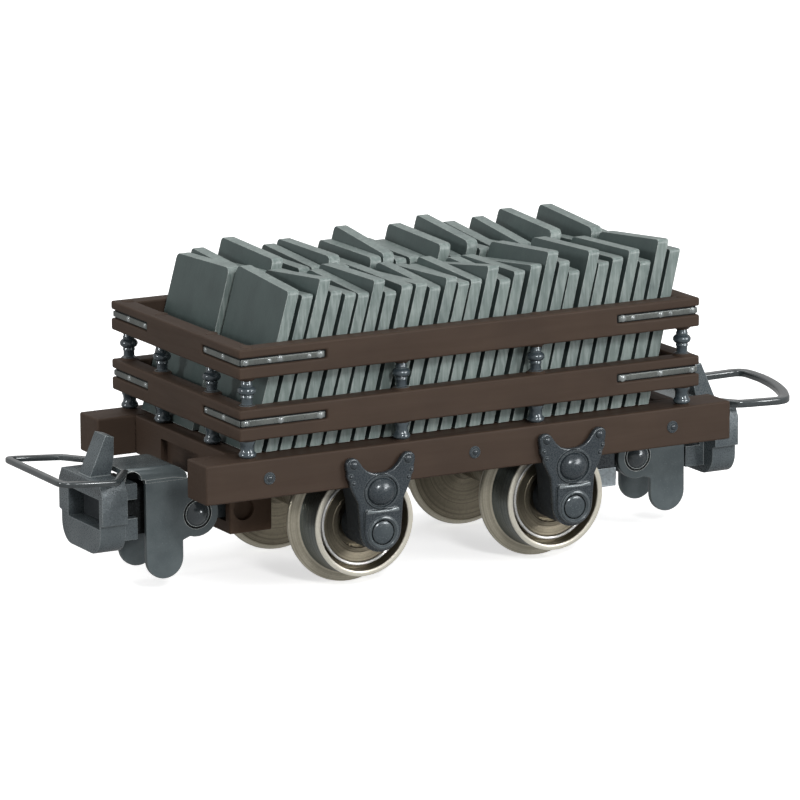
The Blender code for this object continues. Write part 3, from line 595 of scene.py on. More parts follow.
def slot_tool(ring):
    """An L-shaped cutter for every corner of a ring."""
    low, high = slot_heights(ring)
    tools = Shape()
    past = 0.3
    for x_sign in ENDS.values():
        for y_sign in SIDES.values():
            outer_x, outer_y = RING_HALF_LENGTH + past, FRAME_HALF_WIDTH + past
            inner_x, inner_y = RING_HALF_LENGTH - SLOT_DEPTH, FRAME_HALF_WIDTH - SLOT_DEPTH
            corner = [(SLOT_END_X, inner_y), (SLOT_END_X, outer_y), (outer_x, outer_y)]
            corner += [(outer_x, SLOT_END_Y), (inner_x, SLOT_END_Y), (inner_x, inner_y)]
            tools.plate([(x_sign * x, y_sign * y) for x, y in corner], low, high, "XY")
    return tools


def ring_shape(ring):
    low, high = RINGS[ring]
    shape = Shape().box(
        (-RING_HALF_LENGTH, -FRAME_HALF_WIDTH, low), (RING_HALF_LENGTH, FRAME_HALF_WIDTH, high)
    )
    shape.cut(
        Shape().box(
            (-RING_INNER_X, -RING_INNER_Y, low - 1), (RING_INNER_X, RING_INNER_Y, high + 1)
        )
    )
    shape.cut(slot_tool(ring))
    bmesh.ops.dissolve_limit(
        shape.bm, angle_limit=0.01, verts=shape.bm.verts, edges=shape.bm.edges
    )
    round_edges(shape.bm, 0.11, 3)
    return shape


def make_rings():
    part_at = RING_INNER_Y - 0.10
    for ring, (low, high) in RINGS.items():
        for side, y_sign in SIDES.items():
            y0, y1 = sorted((y_sign * part_at, y_sign * 9))
            tool = Shape().box((-BEYOND, y0, BELOW), (BEYOND, y1, BEYOND))
            rail = ring_shape(ring).cut(tool, "INTERSECT")
            add_bosses(rail, posts_in(-BEYOND, BEYOND, y0, y1), low, high, ring == "upper")
            name = f"{ring}_side_rail_{side}"
            place(f"{name}_timber", rail, "frame", [TIMBER_ALONG], "timber", [name])
        for end, x_sign in ENDS.items():
            x0, x1 = sorted((x_sign * BELOW, x_sign * BEYOND))
            tool = Shape().box((x0, -part_at, BELOW), (x1, part_at, BEYOND))
            rail = ring_shape(ring).cut(tool, "INTERSECT")
            places = posts_in(x0, x1, -part_at, part_at)
            add_bosses(rail, places, low, high, ring == "upper")
            name = f"{ring}_end_rail_{end}"
            place(f"{name}_timber", rail, "frame", [TIMBER_ACROSS], "timber", [name])


def make_straps():
    half = STRAP_HEIGHT / 2
    for ring in RINGS:
        low, high = slot_heights(ring)
        middle = (low + high) / 2
        for end, x_sign in ENDS.items():
            for side, y_sign in SIDES.items():
                strap = Shape()
                outer_x, outer_y = RING_HALF_LENGTH - 0.07, FRAME_HALF_WIDTH - 0.07
                inner_x, inner_y = outer_x - STRAP_THICKNESS, outer_y - STRAP_THICKNESS
                tip_x, tip_y = SLOT_END_X + 0.10, SLOT_END_Y + 0.10
                long_leg = [(tip_x, inner_y), (tip_x, outer_y), (outer_x - 0.05, outer_y)]
                long_leg += [(inner_x - 0.02, inner_y)]
                short_leg = [(outer_x, outer_y - 0.05), (outer_x, tip_y), (inner_x, tip_y)]
                short_leg += [(inner_x, inner_y - 0.02)]
                for leg in (long_leg, short_leg):
                    outline = [(x_sign * x, y_sign * y) for x, y in leg]
                    strap.plate(outline, middle - half, middle + half, "XY", 0.045, 2)
                # A dark lining behind the strap is painted shade in the slot, and shows as the strap's
                # outline.
                back_x, back_y = outer_x - 0.10, outer_y - 0.10
                slot_shade = [(SLOT_END_X, back_y - 0.1), (SLOT_END_X, back_y), (back_x, back_y)]
                slot_shade += [(back_x, SLOT_END_Y), (back_x - 0.1, SLOT_END_Y)]
                slot_shade += [(back_x - 0.1, back_y - 0.1)]
                slot_shade = [(x_sign * x, y_sign * y) for x, y in slot_shade]
                strap.plate(slot_shade, low, high, "XY", material=2)
                face = "-Y" if y_sign < 0 else "Y"
                # The rivets take the bright stud finish, whose light colour is a painted glint.
                for x, size in ((tip_x + 0.26, 0.20), (tip_x + 2.55, 0.18), (outer_x - 0.35, 0.17)):
                    centre = (x_sign * x, y_sign * (outer_y - 0.03), middle + rng.uniform(-0.03, 0.04))
                    strap.dome(centre, size, 0.10, face, 14, 4, material=1)
                    if ring == "upper" and x < outer_x - 1:
                        centre = (x_sign * (x + 0.62), centre[1], middle - 0.02)
                        strap.dome(centre, 0.13, 0.09, face, 12, 3, material=1)
                face = "-X" if x_sign < 0 else "X"
                for y, size in ((tip_y + 0.22, 0.15), ((tip_y + outer_y) / 2 + 0.15, 0.17)):
                    centre = (x_sign * (outer_x - 0.03), y_sign * y, middle + 0.02)
                    strap.dome(centre, size, 0.10, face, 14, 4, material=1)
                name = f"{ring}_corner_strap_{end}_{side}"
                place(f"{name}_iron", strap, "frame", [STRAP, STUD_GLINT, DEEP_SHADE], "ironwork", [name])


def make_solebars():
    for side, y_sign in SIDES.items():
        y0, y1 = sorted((y_sign * SOLEBAR_INNER, y_sign * FRAME_HALF_WIDTH))
        bar = Shape().box(
            (-FRAME_HALF_LENGTH, y0, FRAME_BOTTOM), (FRAME_HALF_LENGTH, y1, FRAME_TOP), 0.11, 3
        )
        hollows = Shape()
        hollow_y = sorted((y_sign * 5.0, y_sign * HOLLOW_DEPTH_Y))
        for x_sign in ENDS.values():
            x = x_sign * AXLE_X
            low = (x - HOLLOW_HALF_LENGTH, hollow_y[0], 5.5)
            hollows.box(low, (x + HOLLOW_HALF_LENGTH, hollow_y[1], HOLLOW_TOP))
        bar.cut(hollows)
        for x, y in posts_in(-BEYOND, BEYOND, y0, y1):
            bar.turned([(r * 0.9, h * 0.5) for r, h in BOSS], "Z", (x, y, FRAME_TOP), 20)
        face = "-Y" if y_sign < 0 else "Y"
        for x in (-BOLT_X, 0, BOLT_X):
            centre = (x, y_sign * (FRAME_HALF_WIDTH + 0.01), BOLT_Z)
            washer = [(0, -0.1), (0.33, -0.1), (0.33, 0.02), (0.29, 0.06), (0, 0.06)]
            bar.turned(washer, face, centre, 20, material=1)
            bar.dome(centre, 0.20, 0.17, face, 12, 3, material=1)
        name = f"solebar_{side}"
        place(f"{name}_timber", bar, "frame", [TIMBER_ALONG, IRON], "timber", [name])


def make_headstocks():
    half = SOLEBAR_INNER + 0.02
    for end, x_sign in ENDS.items():
        x0, x1 = sorted((x_sign * HEADSTOCK_INNER, x_sign * HEADSTOCK_OUTER))
        bar = Shape().box((x0, -half, FRAME_BOTTOM), (x1, half, FRAME_TOP), 0.10, 3)
        front = x_sign * HEADSTOCK_OUTER
        r0, r1 = sorted((front - x_sign * RECESS_DEPTH, front + x_sign * 0.5))
        low, high = (r0, -RECESS_HALF_WIDTH, 5.5), (r1, RECESS_HALF_WIDTH, RECESS_TOP)
        bar.cut(Shape().box(low, high, 0.08, 2))
        name = f"headstock_{end}"
        place(f"{name}_timber", bar, "frame", [TIMBER_ACROSS], "timber", [name])


def make_deck():
    """Cross planks with narrow gaps, closed by a thin sheet above them."""
    deck = Shape()
    planks = 11
    length = HEADSTOCK_INNER - 0.03
    pitch = 2 * length / planks
    half = SOLEBAR_INNER - 0.03
    for index in range(planks):
        start = -length + index * pitch
        low = DECK_BOTTOM + rng.uniform(0.0, 0.03)
        deck.box((start + 0.03, -half, low), (start + pitch - 0.03, half, FRAME_TOP - 0.06), 0.05, 2)
    deck.box((-length, -half, FRAME_TOP - 0.25), (length, half, FRAME_TOP), 0.03, 1)
    place("floor_deck_planks", deck, "frame", [TIMBER_ACROSS], "timber", ["floor_deck"])


# ---------------------------------------------------------------- stanchions and slates


def make_stanchions():
    profile = [(0, 13.76), (0.16, 13.75), (0.25, 13.72), (0.28, 13.66)]
    profile += [(0.28, COLLAR_Z + 0.40), (0.32, COLLAR_Z + 0.33), (0.31, COLLAR_Z + 0.26)]
    bulge = [math.radians(angle) for angle in (60, 38, 18, 0, -18, -38, -60)]
    profile += [(0.12 + 0.36 * math.cos(a), COLLAR_Z + 0.27 * math.sin(a)) for a in bulge]
    profile += [(0.31, COLLAR_Z - 0.26), (0.33, COLLAR_Z - 0.34), (0.29, COLLAR_Z - 0.42)]
    profile += [(0.29, 10.76), (0.40, 10.70), (0.40, 10.62), (0.28, 10.60)]
    profile += [(0.28, 8.92), (0.40, 8.91), (0.42, 8.85), (0.41, 8.72), (0.36, 8.62)]
    profile += [(0.34, 8.46), (0.36, 8.32), (0.42, 8.23), (0.46, 8.16), (0.46, 8.07)]
    profile += [(0.41, 8.00), (0.34, 7.95), (0.28, 7.91), (0.24, 7.90), (0.24, 7.50), (0, 7.50)]
    for name, x, y in post_places():
        post = Shape().turned(profile, "Z", (x, y, 0), 28)
        place(f"{name}_iron", post, "frame", [POST], "ironwork", [name])


# The slates that stand out, by place in the row: rise of the outer and inner top corners.
SLATE_HEIGHT = 7.8
SLATE_SPREAD = 0.22
TALL_SLATES = {
    "near": {
        0: (0.4, 0.8), 2: (0.9, 0.4), 6: (0.5, 0.4), 14: (0.6, -0.2), 17: (0.4, -0.2),
        18: (1.0, 0.6), 19: (0.4, 0.2), 21: (0.8, 0.6), 23: (0.3, 0.1), 24: (0.6, 0.4),
        26: (1.0, 0.5), 27: (0.4, 0.2),
    },
    "far": {
        0: (0.4, 0.6), 1: (0.6, 0.2), 3: (1.0, 0.8), 6: (0.4, 0.1), 7: (0.6, 0.6),
        10: (0.3, 0.3), 11: (1.0, 0.4), 15: (0.8, 0.6), 17: (1.1, 0.6), 19: (0.6, 0.1),
        21: (0.7, 0.1), 23: (1.0, 0.7), 26: (1.0, 0.6), 27: (0.5, 0.2),
    },
}
FIRST_SLATE_X = {"near": -12.38, "far": -12.55}
# The near row's slates stand a little straighter towards the right end.
FOOT_CREEP = {"near": 0.39, "far": 0.0}
LEAN_LOSS = {"near": 0.045, "far": 0.0}


def slate_corners(side, index):
    tall = TALL_SLATES[side].get(index)
    if tall:
        return [SLATE_HEIGHT + rise for rise in tall]
    phase = 2.4 * index + (1.0 if side == "far" else 0.0)
    return [SLATE_HEIGHT + SLATE_SPREAD * math.sin(phase + turn) for turn in (0.0, 2.0)]


def rounded_corner(corner, before, after, radius, steps=4):
    """Points that round a polygon's corner."""
    corner, before, after = Vector(corner), Vector(before), Vector(after)
    start = corner + (before - corner).normalized() * radius
    end = corner + (after - corner).normalized() * radius
    points = []
    for step in range(steps + 1):
        t = step / steps
        points.append((1 - t) ** 2 * start + 2 * t * (1 - t) * corner + t * t * end)
    return [(point.x, point.y) for point in points]


def make_slates():
    for side, y_sign in SIDES.items():
        row = Shape()
        tones = []
        for index in range(SLATES_PER_ROW):
            outer_height, inner_height = slate_corners(side, index)
            y_out = SLATE_OUTER_Y + rng.uniform(-0.07, 0.0)
            y_in = SLATE_INNER_Y + rng.uniform(0.0, 0.08)
            foot = [(y_in, 0), (y_out, 0)]
            top_out, top_in = (y_out, outer_height), (y_in, inner_height)
            sharp, soft = rng.uniform(0.18, 0.30), rng.uniform(0.30, 0.50)
            outline = foot + rounded_corner(top_out, foot[1], top_in, sharp)
            outline += rounded_corner(top_in, top_out, foot[0], soft)
            if y_sign < 0:
                outline = [(-y, z) for y, z in reversed(outline)]
            bm = polygon_bmesh(outline, 0, SLATE_THICKNESS)
            bmesh.ops.transform(bm, matrix=PLANES["YZ"], verts=bm.verts)
            round_edges(bm, 0.035, 2, 40)
            for face in bm.faces:
                # Edges and tops take the much lighter edge copy of the slate, as painted highlight.
                face.material_index = 0 if abs(face.normal.x) > 0.7 else 1
            along_row = index / (SLATES_PER_ROW - 1)
            x = FIRST_SLATE_X[side] + index * SLATE_PITCH + FOOT_CREEP[side] * along_row
            lean = SLATE_LEAN - LEAN_LOSS[side] * along_row + rng.uniform(-0.008, 0.008)
            shear = Matrix.Identity(4)
            shear[0][2] = math.tan(lean)
            spin = Matrix.Rotation(rng.uniform(-0.004, 0.004), 4, "Z")
            matrix = Matrix.Translation((x, 0, SLATE_BOTTOM)) @ spin @ shear
            before = len(row.bm.verts)
            row.take(bm, matrix)
            tones += [rng.random()] * (len(row.bm.verts) - before)
        mesh = row.mesh(f"slates_{side}")
        mesh.attributes.new("tone", "FLOAT", "POINT").data.foreach_set("value", tones)
        stack = f"slate_stack_{side}"
        place(f"slates_{side}", mesh, "load", [SLATE_FACE, SLATE_EDGE], "slate", [stack])


# ---------------------------------------------------------------- running gear


def guard_outline():
    foot = arc((0, 0), 1.18, -90, 0, 8)
    ear = [(1.24, 0.8), (1.30, 1.50), (1.62, 2.16), (1.76, 2.48), (1.80, 2.70), (1.93, 2.90)]
    ear += [(1.95, 3.08), (1.93, 3.22), (1.99, 3.42), (2.00, 3.66), (1.92, 3.84), (1.76, 3.93)]
    ear += [(1.54, 3.94)]
    notch = [(1.34, 3.84), (1.20, 3.66), (1.00, 3.38), (0.72, 3.14), (0.36, 3.02), (0, 2.99)]
    return mirrored(foot + ear + notch)


def make_guards():
    for end, x_sign in ENDS.items():
        for side, y_sign in SIDES.items():
            guard = Shape()
            guard.plate(guard_outline(), -7.82, -7.49, "XZ", 0.09, 3)
            body = arc((0, 0), 1.15, -90, 0, 8) + [(1.28, 1.50), (1.50, 2.24)]
            # The body and the boss behind the plate take the near-black shade finish, painted shade.
            guard.plate(mirrored(body), -7.72, -6.16, "XZ", 0.06, 2, material=1)
            boss = [(0, 5.42), (1.05, 5.42), (1.12, 5.50), (1.12, 6.4), (0, 6.4)]
            guard.turned(boss, "-Y", (0, 0, 0), 32, material=1)
            front = arc((0, 0), 1.04, -90, 0, 8) + [(1.00, 0.96), (0.92, 1.12)]
            guard.plate(mirrored(front), -7.99, -7.7, "XZ", 0.07, 3)
            # The ledge's bright finish is a painted highlight along its top.
            ledge = [(-0.94, 0.97), (0.94, 0.97), (0.90, 1.16), (0.30, 1.08), (0, 1.06)]
            ledge += [(-0.30, 1.08), (-0.90, 1.16)]
            guard.plate(ledge, -8.06, -7.75, "XZ", 0.04, 2, material=2)
            cover = [(0, 8.05), (0.46, 8.05), (0.55, 8.03), (0.60, 7.99), (0.66, 7.99)]
            cover += [(0.72, 8.05), (0.78, 8.09), (0.85, 8.06), (0.89, 7.98), (0.90, 7.8), (0, 7.8)]
            guard.turned(cover, "-Y", (0, 0, -0.10), 40, material=3)
            bulge = [(0, 0.48), (0.22, 0.465), (0.42, 0.42), (0.60, 0.33), (0.74, 0.20)]
            bulge += [(0.82, 0.06), (0.84, -0.1), (0, -0.1)]
            flatten = Matrix.Translation((0, 0, 2.04)) @ Matrix.Diagonal((1, 1, 0.90, 1))
            guard.turned(bulge, "-Y", (0, -7.78, 0), 40, flatten)
            rim = [(0.87, 7.84), (0.92, 7.92), (0.98, 7.92), (1.03, 7.84), (1.04, 7.76), (0.86, 7.76)]
            guard.turned(rim, "-Y", (0, 0, 0), 40, flatten)
            for x in (-1, 1):
                guard.dome((x * 1.58, -7.80, 3.60), 0.25, 0.20, "-Y", 18, 5)
                for bump_x, bump_z in ((1.76, 3.00), (1.60, 2.62)):
                    guard.dome((x * bump_x, -7.80, bump_z), 0.13, 0.13, "-Y", 14, 4)
            turn = Matrix.Rotation(math.pi if y_sign > 0 else 0, 4, "Z")
            shift = Matrix.Translation((x_sign * AXLE_X, 0, AXLE_Z))
            bmesh.ops.transform(guard.bm, matrix=shift @ turn, verts=guard.bm.verts)
            name = f"axleguard_{end}_{side}"
            finishes = [IRON, SHADE, LEDGE_GLINT, COVER]
            place(f"{name}_iron", guard, "frame", finishes, "ironwork", [name])


def wheel_parts():
    """(radius, distance from the middle) outlines of a wheel's rings, whose different finishes are
    painted light on one metal.
    """
    wheel = [(2.60, 5.90), (2.60, 5.02), (2.36, 5.02), (2.35, 5.50), (2.18, 5.56)]
    wheel += [(2.12, 5.60), (1.66, 5.54), (1.62, 5.57), (1.44, 5.56), (1.40, 5.50)]
    wheel += [(1.40, 5.00), (0.745, 5.00), (0.745, 3.72), (2.2, 3.72), (2.9, 3.70)]
    wheel += [(3.20, 3.71), (3.34, 3.78), (3.40, 3.90), (3.42, 4.00), (3.40, 4.06), (3.24, 4.18)]
    wheel += [(3.10, 4.24), (2.98, 4.30), (2.80, 4.40), (2.80, 5.90)]
    tread = [(2.78, 4.36), (2.96, 4.36), (2.91, 4.48), (2.89, 5.20), (2.86, 5.84), (2.78, 5.84)]
    rim = [(2.58, 5.88), (2.58, 5.96), (2.62, 5.98), (2.80, 5.98), (2.85, 5.96), (2.865, 5.88)]
    flange = [(2.90, 4.38), (3.10, 4.285), (3.28, 4.235), (3.42, 4.175), (3.49, 4.095)]
    flange += [(3.51, 4.00), (3.48, 3.88), (3.38, 3.76), (3.24, 3.70), (3.10, 3.90)]
    lip = [(2.345, 5.48), (2.345, 5.60), (2.32, 5.65), (2.27, 5.67), (2.21, 5.64), (2.20, 5.48)]
    return wheel, tread, rim, flange, lip


def make_wheelsets():
    wheel, tread, rim, flange, lip = wheel_parts()
    for end, x_sign in ENDS.items():
        centre = (x_sign * AXLE_X, 0, AXLE_Z)
        body = f"wheelset_{end}"
        axle = [(0, 6.82), (0.10, 6.74), (0.28, 6.48), (0.28, 5.10), (0.66, 5.10), (0.725, 5.04)]
        axle += [(0.725, 3.60), (0.80, 3.56), (0.80, 3.40), (0.725, 3.36), (0.725, 0.4)]
        axle += [(0.70, 0.36)]
        profile = axle + [(radius, -height) for radius, height in reversed(axle)]
        shape = Shape().turned(profile, "Y", centre, 40)
        place(f"axle_{end}_steel", shape, body, [WHEEL[end]], "steel", [f"axle_{end}"])
        for side, y_sign in SIDES.items():
            axis = "Y" if y_sign > 0 else "-Y"
            shape = Shape()
            shape.turned(wheel, axis, centre, 96)
            shape.turned(rim, axis, centre, 96, material=1)
            shape.turned(flange, axis, centre, 96, material=4)
            shape.turned(lip, axis, centre, 96, material=2)
            shape.turned(tread, axis, centre, 96, material=3)
            name = f"wheel_{end}_{side}"
            finishes = [WHEEL[end], RIM[end], LIP_REFLECTION, TREAD[end], FLANGE[end]]
            place(f"{name}_metal", shape, body, finishes, "wheel", [name])


# ---------------------------------------------------------------- couplers

LOOP_SHAPES = {
    "left": {
        "reach": 21.88, "bow": 0.0, "skew": 0.0, "rise": 0.09, "twist": 0.0,
        "corner": 0.5, "width": 0.42, "height": 0.30,
    },
    "right": {
        "reach": 23.20, "bow": 0.74, "skew": 0.212, "rise": -0.016, "twist": 0.0094,
        "corner": 0.8, "width": 0.57, "height": 0.38,
    },
}
LOOP_MIDDLE = 6.62
# The loop's bent top plate: where its bends are centred, and their radii.
TOP_BEND = (1.26, 6.25)
TOP_BEND_OUTER = 0.48
TOP_BEND_INNER = 0.20
LOOP_ARM_Y = 3.40


def turn_to_end(shape, end):
    if end == "right":
        half_turn = Matrix.Rotation(math.pi, 4, "Z")
        bmesh.ops.transform(shape.bm, matrix=half_turn, verts=shape.bm.verts)
    return shape


POCKET_BOTTOM = 2.66
POCKET_FRONT = 11.42


def make_pocket(end):
    pocket = Shape().box((-POCKET_FRONT, -1.80, POCKET_BOTTOM), (-8.95, 1.80, 7.17), 0.10, 3)
    shank_slot = Shape().box((-11.9, -1.35, 3.30), (-9.12, 1.35, 4.20))
    pocket.cut(shank_slot)
    hole = [(0, 1.46), (0.60, 1.46), (0.60, 2.2), (0, 2.2)]
    for axis in ("Y", "-Y"):
        pocket.cut(Shape().turned(hole, axis, (-10.60, 0, 3.95), 32))
    bore = [(0, -0.3), (0.39, -0.3), (0.39, 2.94), (0, 2.94)]
    pocket.cut(Shape().turned(bore, "Z", (-PIVOT_X, 0, POCKET_BOTTOM), 24))
    turn_to_end(pocket, end)
    name = f"coupler_pocket_{end}"
    # The pocket takes the lighter timber copy, painted light.
    place(f"{name}_timber", pocket, "frame", [TIMBER_POCKET_LIT], "timber", [name])


def make_head(end):
    corner = arc((1.20, 3.60), 1.10, -90, 0, 8)
    outline = corner + [(2.30, 4.08), (2.60, 4.16), (2.60, 5.75), (2.25, 6.36)]
    head = Shape().plate(mirrored(outline), -19.10, -17.65, "YZ")
    head.cut(Shape().box((-19.5, -2.20, 3.93), (-18.00, 1.50, 5.50)))
    round_edges(head.bm, 0.09, 3)
    neck = Shape().box((-17.80, -1.38, 2.95), (-16.50, 1.38, 5.95), 0.06, 2)
    for y_sign in SIDES.values():
        y0, y1 = sorted((y_sign * 0.5, y_sign * 1.6))
        neck.cut(Shape().box((-17.40, y0, 4.10), (-16.30, y1, 5.10)))
    casting = Shape().add(head).add(neck)
    hook = [(-18.90, 6.26), (-17.66, 6.26), (-17.46, 7.20), (-17.44, 8.34), (-17.92, 8.46)]
    casting.plate(hook, -0.65, 0.65, "XZ", 0.04, 2)
    # The neck's window and channel and the back of the socket are lined with near-black finishes,
    # painted shade.
    casting.box((-17.32, -0.9, 4.14), (-16.40, 0.9, 5.06), 0.02, 1, material=2)
    casting.box((-18.25, -2.1, 4.00), (-18.02, 1.4, 5.44), 0.02, 1, material=1)
    casting.box((-18.12, -0.85, 3.98), (-17.90, -0.62, 5.46), 0.04, 2)
    casting.box((-16.60, -0.75, 3.05), (-15.30, 0.75, 5.60), 0.06, 2, material=2)
    rear = [(-15.40, 3.05), (-12.50, 3.05), (-12.50, 4.95), (-15.40, 4.95)]
    casting.plate(rear, -1.36, 1.36, "XZ", 0.08, 3)
    tail = [(-12.80, 0.75), (-12.80, -0.75), (-PIVOT_X, -0.80)]
    tail += arc((-PIVOT_X, 0), 0.86, -60, 60, 10) + [(-PIVOT_X, 0.80)]
    casting.plate(tail, 3.38, 4.12, "XY", 0.05, 2)
    turn_to_end(casting, end)
    name = f"coupler_{end}"
    place(f"{name}_casting", casting, f"{name}_body", [COUPLER, SHADE, DEEP_SHADE], "coupler", [name])
    rivet = Shape()
    half = [(0, 2.10), (0.14, 2.09), (0.28, 2.05), (0.42, 1.97), (0.54, 1.87), (0.62, 1.78)]
    half += [(0.65, 1.72)]
    half += [(0.30, 1.70)]
    profile = half + [(radius, -height) for radius, height in reversed(half)]
    rivet.turned(profile, "Y", (-RIVET_X, 0, RIVET_Z), 36)
    turn_to_end(rivet, end)
    name = f"loop_rivet_{end}"
    place(f"{name}_iron", rivet, f"coupler_{end}_body", [RIVET], "coupler", [name])


def loop_path(shape):
    """The loop's centre line, from one side of the top plate round to the other."""
    arm = LOOP_ARM_Y
    neck = [(-17.30, 1.50), (-17.42, 1.70), (-18.45, 3.10), (-18.62, 3.30), (-18.85, arm)]
    bar = []
    steps = 12
    for step in range(steps + 1):
        y = arm * (1 - 2 * step / steps)
        reach = shape["reach"] - 0.2 - shape["bow"] * (y / 3.6) ** 2 - shape["skew"] * y
        bar.append((-reach, y))
    loop = [(x, y) for x, y in neck]
    loop += rounded_corner(bar[0], neck[-1], bar[3], shape["corner"], 5)
    loop += bar[3:-3]
    loop += rounded_corner(bar[-1], bar[-4], (neck[-1][0], -arm), shape["corner"], 5)
    loop += [(x, -y) for x, y in reversed(neck)]
    path = []
    for x, y in loop:
        ahead = max(0.0, -x - 19.1)
        path.append((x, y, LOOP_MIDDLE + ahead * (shape["rise"] - shape["twist"] * y)))
    return path


def make_loop(end):
    loop = Shape()
    bent = LOOP_SHAPES[end]
    loop.swept(loop_path(bent), bent["width"], bent["height"], 0.10, material=3)
    outer_half = [(1.74, 5.95)] + arc(TOP_BEND, TOP_BEND_OUTER, 0, 90, 8)
    inner_half = [(1.46, 5.95)] + arc(TOP_BEND, TOP_BEND_INNER, 0, 90, 4)
    channel = outer_half + [(-y, z) for y, z in reversed(outer_half)]
    channel += [(-y, z) for y, z in inner_half] + inner_half[::-1]
    top = Shape().plate(channel, -17.36, -13.82, "YZ")
    shoulder = [(-12.8, 8.0), (-14.9, 8.0), (-14.65, 6.73), (-14.38, 6.64), (-14.23, 6.57)]
    shoulder += [(-14.10, 6.48), (-13.98, 6.37), (-13.90, 6.26), (-13.80, 6.05), (-12.8, 5.75)]
    top.cut(Shape().plate(shoulder, -2.2, 2.2, "XZ"))
    arch = [(0, -2.2), (0.46, -2.2), (0.46, 2.2), (0, 2.2)]
    notch = Shape().turned(arch, "Y", (-16.90, 0, 6.16), 24)
    notch.box((-18.0, -2.2, 5.5), (-16.22, 2.2, 6.14))
    notch.cut(Shape().box((-18.2, -1.10, 5.0), (-15.0, 1.10, 7.0)))
    top.cut(notch)
    round_edges(top.bm, 0.04, 2)
    loop.add(top)
    # The bright steel strip on the top plate's rear edge is a painted highlight.
    rear = [(-14.02, 6.39), (-13.92, 6.34), (-13.82, 6.18), (-13.79, 6.02), (-13.86, 5.98)]
    rear += [(-13.92, 6.14)]
    loop.plate(rear, -1.70, 0.10, "XZ", 0.02, 2, material=1)
    weight = arc((-15.14, 1.84), 1.06, 180, 360, 20)
    lobe = arc((-RIVET_X, RIVET_Z), 1.22, -110, 60, 14)
    side = weight + [(-14.08, 2.70)] + lobe + [(-13.76, 5.20), (-13.75, 5.98)]
    side += [(-14.55, 6.12), (-16.20, 6.12)]
    cheeks = Shape()
    for sign in SIDES.values():
        start, finish = sorted((sign * 1.45, sign * 1.75))
        cheeks.plate(side, start, finish, "XZ", 0.06, 3)
    ring = [(0.68, 1.64), (0.68, 1.9), (0.80, 1.9), (0.80, 1.64)]
    # A dark ring set in the groove round each rivet is painted shade.
    groove_shade = [(0.685, 1.62), (0.685, 1.70), (0.795, 1.70), (0.795, 1.62)]
    for axis in ("Y", "-Y"):
        cheeks.cut(Shape().turned(ring, axis, (-RIVET_X, 0, RIVET_Z), 36))
    loop.add(cheeks)
    for axis in ("Y", "-Y"):
        loop.turned(groove_shade, axis, (-RIVET_X, 0, RIVET_Z), 36, material=2)
    turn_to_end(loop, end)
    name = f"coupling_loop_{end}"
    place(f"{name}_iron", loop, f"loop_{end}_body", [LOOP, STEEL, DEEP_SHADE, WIRE], "coupler", [name])


KEEPER_REAR = 9.60
KEEPER_FRONT = 11.80
KEEPER_HALF_WIDTH = 1.94


def make_keeper():
    """The light block in front of the right pocket, with the plates that hold it."""
    keeper = Shape().box((11.45, -1.40, 2.76), (12.15, 1.40, 3.28), 0.08, 3)
    for y_sign in SIDES.values():
        y0, y1 = sorted((y_sign * 1.78, y_sign * KEEPER_HALF_WIDTH))
        keeper.box((KEEPER_REAR, y0, POCKET_BOTTOM), (KEEPER_FRONT, y1, 3.63), 0.05, 2)
        keeper.box((KEEPER_REAR, y0, 3.66), (KEEPER_FRONT - 0.10, y1, 4.75), 0.05, 2, material=1)
    low = (KEEPER_REAR, -KEEPER_HALF_WIDTH, 2.60)
    keeper.box(low, (KEEPER_FRONT, KEEPER_HALF_WIDTH, 2.72), 0.05, 2)
    node = "coupler_keeper_right"
    place(f"{node}_block", keeper, "frame", [KEEPER, IRON], "steel", [node])


def make_couplers():
    for end in ENDS:
        make_pocket(end)
        make_head(end)
        make_loop(end)
    make_keeper()
    for node, material in (
        ("ballast_weight", STEEL),
        ("coupler_pivot_pin_left", STEEL),
        ("coupler_pivot_pin_right", STEEL),
    ):
        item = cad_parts[node]
        item.data.materials.clear()
        item.data.materials.append(material)


# ---------------------------------------------------------------- studio


# Name, place in metres, width in metres, power in watts.
SOFTBOXES = (
    ("left", (-0.47, 0.03, 0.16), 0.07, 0.65),
    ("front", (-0.075, -0.400, 0.24), 0.08, 0.85),
    ("right", (0.30, -0.36, 0.20), 0.20, 0.9),
    ("low", (0.22, -0.38, 0.085), 0.06, 0.30),
    ("top", (0.02, 0.10, 0.50), 0.30, 0.40),
    ("back", (0.05, 0.33, 0.42), 0.20, 0.22),
)
CAMERA_PLACE = (-140.782, -258.788, 72.883)
CAMERA_TARGET = (-0.116, 0.428, 8.172)
CAMERA_LENS = 256.46
CAMERA_ROLL = -0.329  # degrees


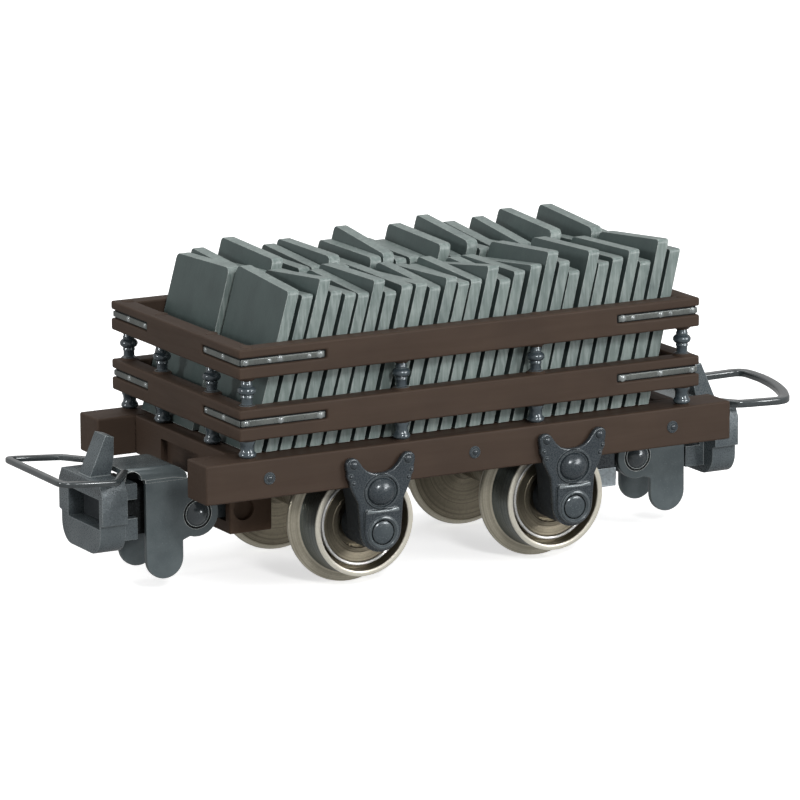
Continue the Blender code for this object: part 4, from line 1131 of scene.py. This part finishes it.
def make_studio():
    scene = bpy.context.scene
    scene.view_settings.view_transform = "Standard"
    world = bpy.data.worlds.new("studio")
    world.use_nodes = True
    tree = world.node_tree
    direction = tree.nodes.new("ShaderNodeTexCoord").outputs["Generated"]
    split = tree.nodes.new("ShaderNodeSeparateXYZ")
    fade = tree.nodes.new("ShaderNodeMapRange")
    for name, value in (("From Min", -0.3), ("From Max", 0.8), ("To Min", 0.36), ("To Max", 0.47)):
        fade.inputs[name].default_value = value
    tree.links.new(direction, split.inputs[0])
    tree.links.new(split.outputs[2], fade.inputs["Value"])
    tree.links.new(fade.outputs["Result"], tree.nodes["Background"].inputs["Strength"])
    tree.nodes["Background"].inputs["Color"].default_value = (1, 1, 1, 1)
    scene.world = world

    floor_mesh = bpy.data.meshes.new("floor")
    bm = bmesh.new()
    bmesh.ops.create_grid(bm, x_segments=1, y_segments=1, size=3.0)
    bm.to_mesh(floor_mesh)
    bm.free()
    floor = bpy.data.objects.new("floor", floor_mesh)
    scene.collection.objects.link(floor)
    pale = Nodes("pale_floor")
    shade = pale.mix(pale.noise(0.002), (0.90, 0.90, 0.90, 1), (0.92, 0.92, 0.92, 1))
    pale.give(pale.shader.inputs["Emission Color"], (1, 1, 1, 1))
    pale.shader.inputs["Emission Strength"].default_value = 0.62
    floor_mesh.materials.append(pale.finish(shade, 0.8, specular=0.2))
    floor.visible_diffuse = False
    floor.visible_glossy = False

    def softbox(name, position, width, power):
        data = bpy.data.lights.new(name, "AREA")
        data.shape = "SQUARE"
        data.size = width
        data.energy = power
        lamp = bpy.data.objects.new(name, data)
        lamp.location = position
        aim = Vector((0, 0, 0.008)) - lamp.location
        lamp.rotation_euler = aim.to_track_quat("-Z", "Y").to_euler()
        scene.collection.objects.link(lamp)

    for name, position, width, power in SOFTBOXES:
        softbox(name, position, width, power)

    camera = bpy.data.objects.new("camera", bpy.data.cameras.new("camera"))
    scene.collection.objects.link(camera)
    camera.data.sensor_width = 36
    camera.data.lens = CAMERA_LENS
    camera.data.clip_start = 0.01
    camera.data.clip_end = 20
    camera.location = Vector(CAMERA_PLACE) * MM
    aim = Vector(CAMERA_TARGET) * MM - camera.location
    level = aim.to_track_quat("-Z", "Y").to_matrix().to_4x4()
    roll = Matrix.Rotation(math.radians(CAMERA_ROLL), 4, "Z")
    camera.rotation_euler = (level @ roll).to_euler()
    scene.camera = camera


make_rings()
make_straps()
make_solebars()
make_headstocks()
make_deck()
make_stanchions()
make_slates()
make_guards()
make_wheelsets()
make_couplers()
make_studio()
